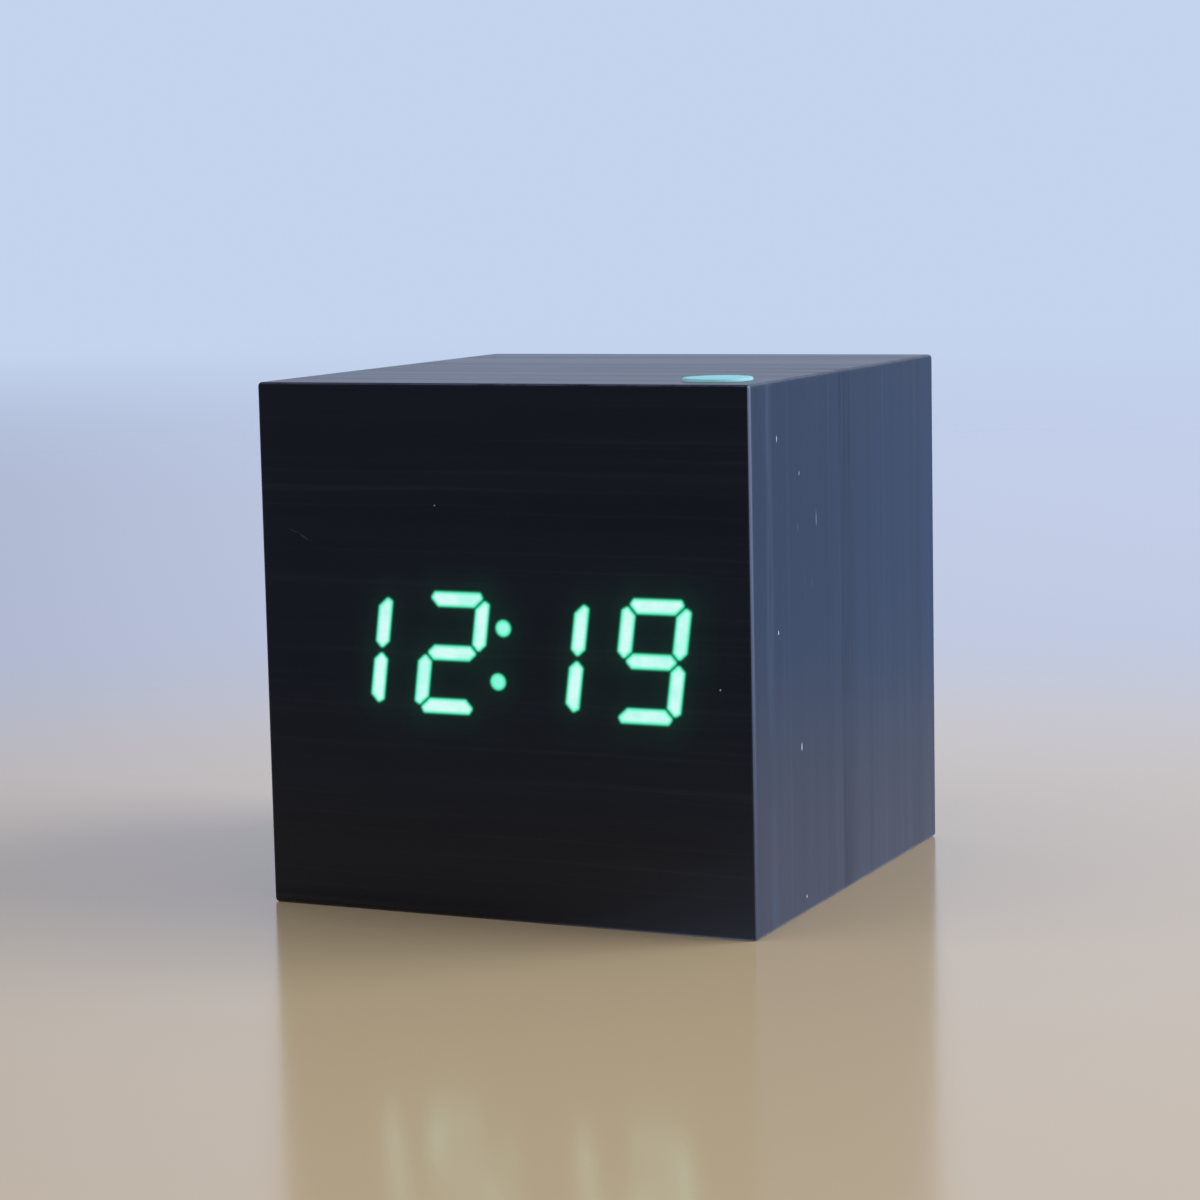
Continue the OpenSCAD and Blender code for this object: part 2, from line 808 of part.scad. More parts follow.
module switch_header() {
    header_block(switch_board_y - circuit_t - header_d, switch_header_z);
}

// Flat cable that leaves one header level, hangs down and comes level again into the other
ribbon_steps = 36;
ribbon_y0 = main_rear_y + header_d;
ribbon_y1 = switch_board_y - circuit_t - header_d;
function ribbon_z(t) = board_header_z + (switch_header_z - board_header_z) * (1 - cos(180 * t)) / 2
    - ribbon_sag * (1 - cos(360 * t)) / 2;

module ribbon_cable() {
    middle = [for (i = [0:ribbon_steps])
        let (t = i / ribbon_steps) [ribbon_y0 + (ribbon_y1 - ribbon_y0) * t, ribbon_z(t)]];
    color([0.5, 0.52, 0.55])
    along_x(-ribbon_w / 2, ribbon_w / 2)
        polygon(concat([for (p = middle) p + [0, ribbon_t / 2]],
            [for (i = [ribbon_steps:-1:0]) middle[i] - [0, ribbon_t / 2]]));
}

// Back: cover with three buttons over push switches, and the power socket

module at_bosses() {
    for (side = [-1, 1]) translate([side * boss_x, 0, boss_z]) children();
}

module switch_board() {
    color(circuit_colour)
    difference() {
        translate([-switch_board_w / 2, switch_board_y - circuit_t, switch_board_z])
            cube([switch_board_w, circuit_t, switch_board_h]);
        at_bosses() facing_rear(0, switch_board_y - circuit_t - 1, 0)
            cylinder(h = circuit_t + 2, r = small_screw_r + screw_room);
    }
}

module switch_screws() {
    color(steel_colour)
    at_bosses() facing_rear(0, switch_board_y - circuit_t, 0) pan_screw(small_screw_r, switch_screw_l);
}

switch_floor = 1;
plunger_under = 0.3;
foot_l = 1.8;
foot_t = 0.3;
foot_w = 0.7;
foot_spread = 4.4;
foot_x = switch_side / 2 + foot_l / 2 - seat_gap;

// Push switches with a bore for the plunger and two flat legs on either side
module switches() {
    color([0.1, 0.1, 0.11])
    for (x = button_x)
        translate([x, switch_board_y, button_z]) {
            difference() {
                span_box([-switch_side / 2, 0, -switch_side / 2],
                    [switch_side / 2, switch_body_h, switch_side / 2]);
                facing_rear(0, switch_floor, 0) cylinder(h = switch_body_h, r = plunger_r + seat_gap);
            }
            for (side = [-1, 1], row = [-1, 1])
                translate([side * foot_x, foot_t / 2, row * foot_spread / 2])
                    cube([foot_l, foot_t, foot_w], center = true);
        }
}

module plunger(x) {
    low = switch_floor + button_travel + plunger_under;
    color([0.2, 0.2, 0.21])
    facing_rear(x, switch_board_y + low, button_z)
        cylinder(h = switch_body_h + plunger_rise - low, r = plunger_r);
}

module set_plunger() {
    plunger(button_x[0]);
}

module up_plunger() {
    plunger(button_x[1]);
}

module down_plunger() {
    plunger(button_x[2]);
}

flange_reach = 1;
cap_edge = 0.35;
cap_gap = 0.15;
rosette_reach = 1.3;
rosette_d = 0.5;

// Cap with a flange that keeps it behind the cover and a stem that presses the plunger
module button(x) {
    top = stem_l + flange_t + fit_gap + cover_t + button_rise;
    r = button_d / 2;
    color([0.17, 0.17, 0.18])
    facing_rear(x, plunger_y, button_z) rotate_extrude()
        polygon([[0, 0], [plunger_r, 0], [plunger_r, stem_l], [r + flange_reach, stem_l],
            [r + flange_reach, stem_l + flange_t], [r, stem_l + flange_t],
            [r, top - cap_edge], [r - cap_edge, top], [0, top]]);
}

module set_button() {
    button(button_x[0]);
}

module up_button() {
    button(button_x[1]);
}

module down_button() {
    button(button_x[2]);
}

module at_cover_screws() {
    for (side = [-1, 1], z = [cover_screw_low_z, cover_screw_top_z])
        translate([side * cover_screw_x, cover_y, z]) rotate([90, 0, 0]) children();
}

rim_t = 1.2;
rim_d = 3;
sound_hole_r = 0.75;
sound_ring_r = 2.8;
sound_x = -15;
sound_z = 24;

module rear_cover() {
    color(plastic_colour)
    difference() {
        union() {
            span_box([-tray_half, cover_back_y, edge_set_back], [tray_half, cover_y, cavity_top - fit_gap]);
            // stiffening rims between the blocks and the tray
            for (side = [-1, 1])
                translate([side * (tray_half - rim_t / 2), cover_back_y - rim_d / 2,
                    (tray_top + cavity_top - block_side) / 2])
                    cube([rim_t, rim_d + 0.2, cavity_top - block_side - tray_top - 2], center = true);
            translate([0, cover_back_y - rim_d / 2, cavity_top - fit_gap - rim_t / 2])
                cube([2 * (cavity_half - block_side) - 2, rim_d + 0.2, rim_t], center = true);
            // bosses that carry the switch board
            at_bosses() facing_rear(0, switch_board_y, 0)
                cylinder(h = cover_back_y - switch_board_y + seat_gap, r = boss_r);
        }
        for (x = button_x) {
            facing_rear(x, cover_back_y - 1, button_z)
                cylinder(h = cover_t + 2, r = button_d / 2 + cap_gap);
            facing_rear(x, cover_y - rosette_d, button_z)
                cylinder(h = 2 * rosette_d, r = button_d / 2 + rosette_reach);
        }
        facing_rear(0, cover_back_y - 1, socket_z) cylinder(h = cover_t + 2, r = socket_nose_r + cap_gap);
        at_bosses() facing_rear(0, switch_board_y - 1, 0)
            cylinder(h = switch_screw_l + 0.5, r = small_screw_r + thread_gap);
        at_cover_screws() sunk_hole(big_screw_r, cover_t + 1);
        // seven small sound holes
        facing_rear(sound_x, cover_back_y - 1, sound_z) {
            cylinder(h = cover_t + 2, r = sound_hole_r);
            for (a = [0:60:300])
                rotate([0, 0, a]) translate([sound_ring_r, 0, 0])
                    cylinder(h = cover_t + 2, r = sound_hole_r);
        }
    }
}

module cover_screws() {
    color([0.3, 0.3, 0.32])
    at_cover_screws() sunk_screw(big_screw_r, cover_screw_l);
}

// Round socket for a power plug, soldered to the switch board
module power_socket() {
    color([0.07, 0.07, 0.08])
    difference() {
        union() {
            translate([0, (switch_board_y + cover_back_y) / 2, socket_z])
                cube([socket_side, cover_back_y - switch_board_y, socket_side], center = true);
            facing_rear(0, cover_back_y - 1, socket_z)
                cylinder(h = cover_t + 1 - nose_sink, r = socket_nose_r);
        }
        facing_rear(0, switch_board_y + socket_floor, socket_z)
            cylinder(h = cover_y - switch_board_y, r = plug_d / 2 + plug_gap);
    }
}

pin_set_in = 1.2;
pin_tip = 0.4;

module socket_pin() {
    shank = cover_y - switch_board_y - socket_floor - pin_set_in - pin_tip;
    color([0.8, 0.7, 0.4])
    facing_rear(0, switch_board_y + socket_floor, socket_z) {
        cylinder(h = shank, d = plug_pin_d);
        translate([0, 0, shank]) cylinder(h = pin_tip, d1 = plug_pin_d, d2 = plug_pin_d - 2 * pin_tip);
    }
}

// Base with the battery bay, its door, three cells and their contacts

hook_x = cell_pitch / 2;
hook_w = 3.4;
hook_reach = 0.8;
hook_z = door_recess + door_t + 0.3;
hook_t = 1.1;
hook_room = 0.3;
hook_stem_t = 1.3;
tray_rib_t = 1.2;
tray_rib_h = 4;
tray_rib_y = 6;

// Room for the cells: a trough for each, with square ends for the contacts
module bay_room() {
    span_box([-bay_half_w, bay_front_y, -1], [bay_half_w, bay_rear_y, cell_z + divider_rise]);
    for (x = [-cell_pitch, 0, cell_pitch])
        facing_rear(x, bay_front_y, cell_z) cylinder(h = bay_length, r = cell_d / 2 + cell_room);
    for (y = [bay_front_y, bay_rear_y - contact_room])
        span_box([-bay_half_w, y, 0], [bay_half_w, y + contact_room, bay_top]);
}

module base_tray() {
    color(plastic_colour)
    difference() {
        union() {
            span_box([-tray_half, cavity_front_y + fit_gap, 0], [tray_half, cover_back_y, base_t]);
            span_box([-bay_outer_half, bay_front_y - ledge - bay_wall, 0],
                [bay_outer_half, bay_rear_y + ledge + bay_wall, tray_top]);
            // bosses for the low cover screws
            for (side = [-1, 1])
                span_box([min(side * bay_half_w, side * tray_half), cover_back_y - tray_boss_l, 0],
                    [max(side * bay_half_w, side * tray_half), cover_back_y, tray_boss_h]);
            // stiffening ribs beside the bay
            for (side = [-1, 1], y = [-tray_rib_y, tray_rib_y])
                span_box([min(side * bay_half_w, side * tray_half), y - tray_rib_t / 2, 0],
                    [max(side * bay_half_w, side * tray_half), y + tray_rib_t / 2, base_t + tray_rib_h]);
        }
        // the bay, and the wider opening in which the door lies
        bay_room();
        span_box([-bay_half_w - ledge, bay_front_y - ledge, -1],
            [bay_half_w + ledge, bay_rear_y + ledge, ledge_z]);
        // pockets for the door's hooks
        for (side = [-1, 1])
            translate([side * hook_x, 0, 0])
                span_box([-hook_w / 2 - hook_room, bay_front_y - 2 * ledge, ledge_z - seat_gap],
                    [hook_w / 2 + hook_room, bay_front_y + 1, hook_z + hook_t + hook_room + fit_gap]);
        // slots for the solder tabs of the end plates
        for (side = [-1, 1])
            end_tab(side, tab_gap, tray_top + 1);
        at_cover_screws() cylinder(h = cover_t + cover_screw_l, r = big_screw_r + thread_gap);
        for (side = [-1, 1])
            translate([side * cover_screw_x, base_screw_y, 0]) sunk_hole(big_screw_r, base_t + 1);
    }
}

module base_screws() {
    color([0.3, 0.3, 0.32])
    for (side = [-1, 1])
        translate([side * cover_screw_x, base_screw_y, 0]) sunk_screw(big_screw_r, base_screw_l);
}

latch_w = 9;
latch_l = 8;
latch_slot = 0.7;
thumb_r = 1.8;
thumb_d = 0.7;
thumb_set_in = 1.2;
grip_r = 0.6;
grip_d = 0.3;
grip_w = 12;
grip_pitch = 2;
grip_count = 3;
door_rib_t = 1.2;
door_rib_gap = 0.6;

// Door that hooks in at the front, with a springy latch tongue at the rear
module battery_door() {
    color(plastic_colour)
    difference() {
        union() {
            span_box([-door_half_w, door_front_y, door_recess],
                [door_half_w, door_rear_y, door_recess + door_t]);
            // hooks that reach over the tray's front lip
            for (side = [-1, 1])
                translate([side * hook_x, 0, 0]) {
                    span_box([-hook_w / 2, bay_front_y + hook_room, door_recess],
                        [hook_w / 2, bay_front_y + hook_room + hook_stem_t, hook_z + hook_t]);
                    span_box([-hook_w / 2, door_front_y - hook_reach, hook_z],
                        [hook_w / 2, bay_front_y + hook_room + hook_stem_t, hook_z + hook_t]);
                }
            // cross ribs under the cells
            for (y = [bay_front_y + bay_length / 4, bay_rear_y - bay_length / 4])
                span_box([door_rib_gap - bay_half_w, y - door_rib_t / 2, door_recess + door_t / 2],
                    [bay_half_w - door_rib_gap, y + door_rib_t / 2, door_recess + door_t + rib_h]);
        }
        // slots that free the latch tongue
        for (side = [-1, 1])
            span_box([side * latch_w / 2 - latch_slot / 2, door_rear_y - latch_l, -1],
                [side * latch_w / 2 + latch_slot / 2, door_rear_y + 1, door_recess + door_t + seat_gap]);
        // thumb hollow on the tongue and grip grooves before it
        translate([0, door_rear_y - thumb_set_in, door_recess + thumb_d - thumb_r]) rotate([0, 90, 0])
            cylinder(h = latch_w - 2 * thumb_set_in, r = thumb_r, center = true);
        for (k = [1:grip_count])
            translate([0, door_rear_y - latch_l - grip_pitch * k, door_recess + grip_d - grip_r])
                rotate([0, 90, 0]) cylinder(h = grip_w, r = grip_r, center = true);
    }
}

nub_r = 1.9;
nub_h = 1.2;
collar_r = 3;
collar_h = 0.3;
cell_edge = 0.4;
cell_hollow = 0.2;
cell_ring = 1.2;

// Cell whose button meets the rear plate, or the front plate where the cell is turned round
module cell(x, turned) {
    y = turned ? bay_front_y + plate_t : bay_rear_y - plate_t;
    r = cell_d / 2;
    body = nub_h + collar_h;
    translate([x, y, cell_z]) rotate([turned ? -90 : 90, 0, 0]) rotate_extrude()
        polygon([[0, 0], [nub_r, 0], [nub_r, nub_h], [collar_r, nub_h], [collar_r, body],
            [r - cell_edge, body], [r, body + cell_edge],
            [r, cell_length - cell_edge], [r - cell_edge, cell_length],
            [r - cell_ring, cell_length], [r - cell_ring - cell_hollow, cell_length - cell_hollow],
            [0, cell_length - cell_hollow]]);
}

module left_cell() {
    color([0.35, 0.5, 0.42]) cell(-cell_pitch, false);
}

module middle_cell() {
    color([0.35, 0.5, 0.42]) cell(0, true);
}

module right_cell() {
    color([0.35, 0.5, 0.42]) cell(cell_pitch, false);
}

spring_turns = 2.5;
spring_big_r = 3.6;
spring_small_r = 2.6;
spring_steps = 60;
spring_rise = spring_length - 2 * spring_wire_r - 0.24;
spring_gap = spring_rise / spring_turns - 2 * spring_wire_r;
echo(least_gap_between_spring_turns = spring_gap);

// Tapered coil from its plate at y = 0 to the flat end of a cell
module spring() {
    path = [for (i = [0:spring_steps])
        let (t = i / spring_steps,
            a = 360 * spring_turns * t,
            r = spring_big_r + (spring_small_r - spring_big_r) * t)
        [r * cos(a), spring_wire_r + 0.02 + spring_rise * t, r * sin(a)]];
    swept_tube(path, spring_wire_r, 8, [0, 1, 0]);
}

module cell_springs() {
    color(steel_colour) {
        for (side = [-1, 1])
            translate([side * cell_pitch, bay_front_y + plate_t, cell_z]) spring();
        translate([0, bay_rear_y - plate_t, cell_z]) mirror([0, 1, 0]) spring();
    }
}

// Upright plate from x0 to x1 against the front or the rear wall of the bay
module contact_plate(x0, x1, at_front) {
    y = at_front ? bay_front_y : bay_rear_y - plate_t;
    span_box([x0, y, plate_z], [x1, y + plate_t, plate_z + plate_h]);
}

// Plates that join two neighbouring cells
module link_plates() {
    color([0.78, 0.76, 0.7]) {
        contact_plate(-cell_pitch - plate_w / 2, plate_w / 2, false);
        contact_plate(-plate_w / 2, cell_pitch + plate_w / 2, true);
    }
}

// Solder tab that rises from an end plate through the roof of the bay, with room round it
module end_tab(side, room, top) {
    y = side < 0 ? bay_front_y : bay_rear_y - plate_t;
    span_box([side * cell_pitch - tab_w / 2 - room, y - room, plate_z + plate_h - 0.1],
        [side * cell_pitch + tab_w / 2 + room, y + plate_t + room, top]);
}

// Plates at the two ends of the row of cells
module end_plates() {
    color([0.78, 0.76, 0.7]) {
        contact_plate(-cell_pitch - plate_w / 2, -cell_pitch + plate_w / 2, true);
        end_tab(-1, 0, tab_z);
        contact_plate(cell_pitch - plate_w / 2, cell_pitch + plate_w / 2, false);
        end_tab(1, 0, tab_z);
    }
}

// Battery leads from the solder tabs to the plug on the main board
lead_steps = 28;
lead_gap = 0.05;
lead_entry = 1.5;
lead_slack = 16;
red_rise = 9;
red_run = 14;
black_run = 26;
lead_end_y = main_rear_y + plug_depth - lead_entry;

module red_lead() {
    start = [cell_pitch, bay_rear_y - plate_t - lead_r - lead_gap, tab_z - tab_rise / 4];
    end = [plug_x + lead_spread, lead_end_y, plug_z];
    color([0.75, 0.1, 0.1])
    swept_tube(bend(start, start + [1, -red_run, red_rise], end + [0, lead_slack, 0], end, lead_steps),
        lead_r, 10, [1, 0, 0]);
}

module black_lead() {
    start = [-cell_pitch, bay_front_y + plate_t + lead_r + lead_gap, tray_top + lead_r + seat_gap];
    end = [plug_x - lead_spread, lead_end_y, plug_z];
    color([0.1, 0.1, 0.1])
    swept_tube(bend(start, start + [2, black_run, 0], end + [0, lead_slack, 0], end, lead_steps),
        lead_r, 10, [0, 0, 1]);
}

front_panel();
top_panel();
left_panel();
right_panel();
glue_blocks();
side_veneer();
front_veneer();
top_dot();
display_housing();
hour_tens();
hour_units();
colon_dots();
minute_tens();
minute_units();
dark_segments();
led_chips();
display_board();
display_pins();
main_board();
board_pillars();
board_screws();
clock_chip();
chip_leads();
crystal();
buzzer();
microphone();
capacitor();
resistors();
coin_holder();
coin_cell();
lead_plug();
board_header();
ribbon_cable();
switch_header();
switch_board();
switch_screws();
switches();
set_plunger();
up_plunger();
down_plunger();
set_button();
up_button();
down_button();
rear_cover();
cover_screws();
power_socket();
socket_pin();
base_tray();
base_screws();
battery_door();
left_cell();
middle_cell();
right_cell();
cell_springs();
link_plates();
end_plates();
red_lead();
black_lead();
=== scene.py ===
"""Looks of the wooden cube alarm clock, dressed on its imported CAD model. Metres, +Z up, display to -Y."""

import math

import bmesh
import bpy
import numpy as np
from mathutils import Matrix, Vector
from mathutils.geometry import convex_hull_2d


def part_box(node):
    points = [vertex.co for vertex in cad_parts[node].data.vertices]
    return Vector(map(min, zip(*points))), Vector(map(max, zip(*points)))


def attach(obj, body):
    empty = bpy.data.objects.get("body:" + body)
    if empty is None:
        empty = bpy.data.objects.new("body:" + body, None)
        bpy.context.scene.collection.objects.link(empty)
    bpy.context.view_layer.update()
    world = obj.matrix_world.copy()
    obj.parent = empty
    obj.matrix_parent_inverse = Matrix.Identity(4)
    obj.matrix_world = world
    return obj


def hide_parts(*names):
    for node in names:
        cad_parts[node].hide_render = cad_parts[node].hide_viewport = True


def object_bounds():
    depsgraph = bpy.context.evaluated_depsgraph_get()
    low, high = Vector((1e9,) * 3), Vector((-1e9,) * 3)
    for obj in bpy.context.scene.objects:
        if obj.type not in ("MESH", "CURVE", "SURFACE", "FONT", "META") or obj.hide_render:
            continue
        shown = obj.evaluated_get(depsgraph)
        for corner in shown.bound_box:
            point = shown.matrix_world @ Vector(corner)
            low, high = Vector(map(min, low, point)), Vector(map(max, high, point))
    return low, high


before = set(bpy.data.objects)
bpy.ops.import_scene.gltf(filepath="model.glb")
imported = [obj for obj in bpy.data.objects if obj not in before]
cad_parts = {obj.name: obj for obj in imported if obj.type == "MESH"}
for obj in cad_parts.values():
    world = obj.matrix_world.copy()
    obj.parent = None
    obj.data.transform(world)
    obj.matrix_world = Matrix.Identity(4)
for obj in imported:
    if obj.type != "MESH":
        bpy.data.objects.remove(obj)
cad_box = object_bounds()
scene = bpy.context.scene
scene.view_settings.view_transform = "Standard"

# Sizes of the object, from the frame where the CAD holds them
MM = 0.001
front_lo, front_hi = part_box("front_veneer")
side_lo, side_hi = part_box("side_veneer")
dot_lo, dot_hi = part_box("top_dot")
housing_lo, housing_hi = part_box("display_housing")
cube_half = front_hi.x
cube_top = side_hi.z
edge_round = front_hi.y - front_lo.y
inner_half = cube_half - edge_round
inner_top = cube_top - edge_round

# The camera as the photograph was taken
CAMERA_PLACE = Vector((0.16017, -0.35188, 0.08275))
CAMERA_AZIMUTH = math.radians(24.695)
CAMERA_ELEVATION = math.radians(7.256)
CAMERA_ROLL = math.radians(-1.216)
CAMERA_LENS = 95.18
CAMERA_SENSOR = 36.0
CAMERA_NEAREST = 0.01

# Front sheet
DIGIT_GRID = 0.12 * MM
PLAIN_GRID = 2.5 * MM
DIGIT_ROOM_X = 0.4 * MM
DIGIT_ROOM_Z = 1.6 * MM
EDGE_STEPS = 6
SEGMENT_ROUND = 0.34 * MM
LIT_NODES = ["hour_tens", "hour_units", "colon_dots", "minute_tens", "minute_units"]

# Side sheet: the span of its unfolded map in millimetres, where its two inner corners lie on the run of its
# outer line, its rows from front to rear, and the small slope at its rear
UNFOLDED_MM = 200.0
INNER_RUN = (0.7, 0.3)
SIDE_ROWS = 12
REAR_EDGE = 0.12 * MM

# Small marks of use: place on the face in millimetres, half width and height, how pale, lean in degrees
SIDE_NICKS = [
    ((-23.0, 55.5), (0.11, 0.42), 1.0, 0),
    ((-16.2, 51.1), (0.10, 0.24), 0.8, 0),
    ((-10.9, 45.4), (0.08, 0.95), 0.55, 0),
    ((-23.2, 33.7), (0.14, 0.24), 1.0, 0),
    ((-16.4, 19.6), (0.16, 0.50), 1.0, 0),
    ((-15.4, 1.9), (0.14, 0.24), 1.0, 0),
    ((-12.6, 38.0), (0.05, 0.50), 0.25, 0),
    ((-16.8, 45.0), (0.05, 0.45), 0.25, 0),
]
FRONT_SPECKS = [
    ((-8.0, 48.0), (0.10, 0.12), 0.4, 0),
    ((27.05, 28.2), (0.11, 0.13), 0.6, 0),
    ((-26.6, 44.6), (0.75, 0.08), 0.035, -20),
    ((-25.3, 43.95), (0.72, 0.11), 0.045, -32),
]
# Long stripes in the side sheet's grain: start, peak and end in millimetres from its front edge, stain, and
# added roughness
SIDE_STRIPES = [
    (3.3, 4.7, 6.6, (0.025, 0.037, 0.057, 1.0), 0.0),
    (27.2, 27.8, 33.5, (0.001, 0.001, 0.002, 1.0), 0.07),
]

# Dot on the top: its crown as a share of its height, and where the painted light that makes its rim wall
# paler starts below the top and is full above the foot, in millimetres
DOT_CROWN = 0.12
DOT_PAINTED_LIGHT_START = 0.08
DOT_PAINTED_LIGHT_FULL = 0.12
CROWN_ANGLES = (0, 25, 45, 60, 75)

# Moulded pieces
MOULD_EDGE = 0.2 * MM
TRAY_EDGE = 0.12 * MM
SMALL_EDGE = 0.15 * MM
CURVED_FACE = (2.2 * MM) ** 2
TURN_STEPS = 72

# Button caps, from the inner end of the stem outwards
FLANGE_LOW = 1.0 * MM
FLANGE_HIGH = 2.0 * MM
FLANGE_EDGE = 0.1 * MM
FLANGE_OUT = 1.0 * MM
BUTTON_EDGE = 0.55 * MM
BUTTON_RIM = 1.6 * BUTTON_EDGE
BUTTON_DISH = 0.28 * MM
DISH_ANGLES = (0, 20, 40, 60, 80)

# Screws: the lip is a share of the rim's height, taper and cross are shares of the shank's radius. Each set
# has the axis that it runs along and the turn that faces its heads outwards
SCREW_SIDES = 48
SCREW_RIM = 0.4 * MM
SCREW_LIP = 0.4
SCREW_TAPER = 0.8
CROSS_LONG = 2.2
CROSS_WIDE = 0.5
CROSS_DEEP = 1.4
SCREW_SETS = {"cover_screws": (1, (math.radians(90), 0, 0)), "base_screws": (2, (0, 0, 0))}

# Limits for reading and smoothing meshes
SAME_POINT = 0.001 * MM
JOINED_WITHIN = 0.0005 * MM
FACE_WITHIN = 0.01 * MM
NO_LENGTH = 1e-9
PLACE_DIGITS = 7
FLAT_WITHIN = math.radians(0.6)
BEVELLED_OVER = math.radians(32)
SMOOTH_UNDER = math.radians(38)
OUT_OF_REACH = 1.0


# Node helpers

def feed(tree, socket, value):
    """Links another socket into this one, or sets a plain value on it."""
    if isinstance(value, bpy.types.NodeSocket):
        tree.links.new(value, socket)
    else:
        socket.default_value = value


def node(tree, kind, inputs=None, **settings):
    """A new node with its settings, and its inputs fed by name or number."""
    made = tree.nodes.new(kind)
    for key, value in settings.items():
        setattr(made, key, value)
    for key, value in (inputs or {}).items():
        feed(tree, made.inputs[key], value)
    return made


def fill(tree, made, **inputs):
    """Feeds the inputs of a node that is there already, with _ for each space in their names."""
    for key, value in inputs.items():
        feed(tree, made.inputs[key.replace("_", " ")], value)


def maths(tree, operation, a, b=0.0, clamp=False):
    return node(tree, "ShaderNodeMath", {0: a, 1: b}, operation=operation, use_clamp=clamp).outputs[0]


def times(tree, a, b, clamp=False):
    return maths(tree, "MULTIPLY", a, b, clamp)


def plus(tree, a, b):
    return maths(tree, "ADD", a, b)


def minus(tree, a, b):
    return maths(tree, "SUBTRACT", a, b)


def vector_maths(tree, operation, *values):
    return node(tree, "ShaderNodeVectorMath", dict(enumerate(values)), operation=operation).outputs


def split(tree, place):
    return node(tree, "ShaderNodeSeparateXYZ", {"Vector": place}).outputs


def combined(tree, **parts):
    return node(tree, "ShaderNodeCombineXYZ", parts).outputs[0]


def spanned(tree, value, low, high, to_low=0.0, to_high=1.0):
    """Brings a value smoothly from the span low to high into another span, and holds it at the ends."""
    spans = {"From Min": low, "From Max": high, "To Min": to_low, "To Max": to_high}
    made = node(tree, "ShaderNodeMapRange", {"Value": value, **spans}, interpolation_type="SMOOTHSTEP")
    return made.outputs["Result"]


def mixed(tree, factor, a, b):
    """A colour between a and b. A Mix node has its colours at inputs 6 and 7 and at output 2."""
    return node(tree, "ShaderNodeMix", {0: factor, 6: a, 7: b}, data_type="RGBA").outputs[2]


def ramp(tree, value, stops):
    made = node(tree, "ShaderNodeValToRGB", {"Fac": value})
    points = made.color_ramp.elements
    while len(points) < len(stops):
        points.new(0.5)
    for point, (place, colour) in zip(points, stops):
        point.position = place
        point.color = (*colour, 1.0)
    return made.outputs["Color"]


def in_millimetres(tree):
    """Place on the object, in millimetres."""
    place = node(tree, "ShaderNodeTexCoord").outputs["Object"]
    return node(tree, "ShaderNodeVectorMath", {0: place, "Scale": 1 / MM}, operation="SCALE").outputs[0]


def stretched(tree, place, scale, turn=(0.0, 0.0, 0.0)):
    return node(tree, "ShaderNodeMapping", {"Vector": place, "Scale": scale, "Rotation": turn}).outputs[0]


def noise(tree, place, scale, detail=3.0, roughness=0.55):
    settings = {"Vector": place, "Scale": scale, "Detail": detail, "Roughness": roughness}
    return node(tree, "ShaderNodeTexNoise", settings).outputs["Fac"]


def drawn_noise(tree, place, fineness, detail=2.0, roughness=0.55):
    """Noise drawn out along an axis. Its fineness is in cycles per millimetre."""
    return noise(tree, stretched(tree, place, fineness), 1.0, detail, roughness)


def bump(tree, height, depth_mm):
    settings = {"Height": height, "Distance": depth_mm * MM, "Strength": 1.0}
    return node(tree, "ShaderNodeBump", settings).outputs["Normal"]


def shade(colour, amount=1.0):
    return (*[part * amount for part in colour], 1.0)


def new_group(name, inputs, outputs, kind="ShaderNodeTree"):
    """A node group. Each input is a label, a form and, where it has one, a value to start from."""
    tree = bpy.data.node_groups.new(name, kind)
    for label, form, *value in inputs:
        socket = tree.interface.new_socket(name=label, in_out="INPUT", socket_type="NodeSocket" + form)
        if value:
            socket.default_value = value[0]
    for label, form in outputs:
        tree.interface.new_socket(name=label, in_out="OUTPUT", socket_type="NodeSocket" + form)
    return tree, tree.nodes.new("NodeGroupInput").outputs, tree.nodes.new("NodeGroupOutput")


def placed(tree, group, **inputs):
    made = node(tree, "ShaderNodeGroup", node_tree=group)
    fill(tree, made, **inputs)
    return made.outputs


def uneven(tree, place, clouds, speckles):
    return placed(tree, SURFACE_LIFE, Place=place, Cloud=clouds, Speckle=speckles)


def new_material(name):
    material = bpy.data.materials.new(name)
    material.use_nodes = True
    return material, material.node_tree, material.node_tree.nodes["Principled BSDF"]


# Shared effects

# Fineness of the veneer's grain, in cycles per millimetre across and along it
GRAIN_WAVER = (0.05, 0.03, 0.05)
GRAIN_BANDS = (0.22, 0.004, 0.2)
GRAIN_STREAKS = (1.1, 0.006, 0.7)
GRAIN_FIBRES = (3.2, 0.05, 1.0)
GRAIN_PORES = (7.0, 0.22, 1.0)
STRIPE_WAVER = (0.0, 0.03, 0.0)
STRIPE_FADE = (0.0, 0.05, 0.0)
NICK_RAGGED = 9.0

# Rubbed edges, in millimetres in from the outer faces: where the rubbing starts and where it is full. The
# edge between front and right side gets a painted highlight, from its foot to its top by the last two
# amounts
RUBBED_IN = (0.26, 0.12)
RUBBED_AMOUNT = 0.22
RUBBED_PATCHES = 0.35
PAINTED_HIGHLIGHT_X = (0.30, 0.16)
PAINTED_HIGHLIGHT_Y = (0.62, 0.28)
PAINTED_HIGHLIGHT_AMOUNT = (0.28, 0.62)


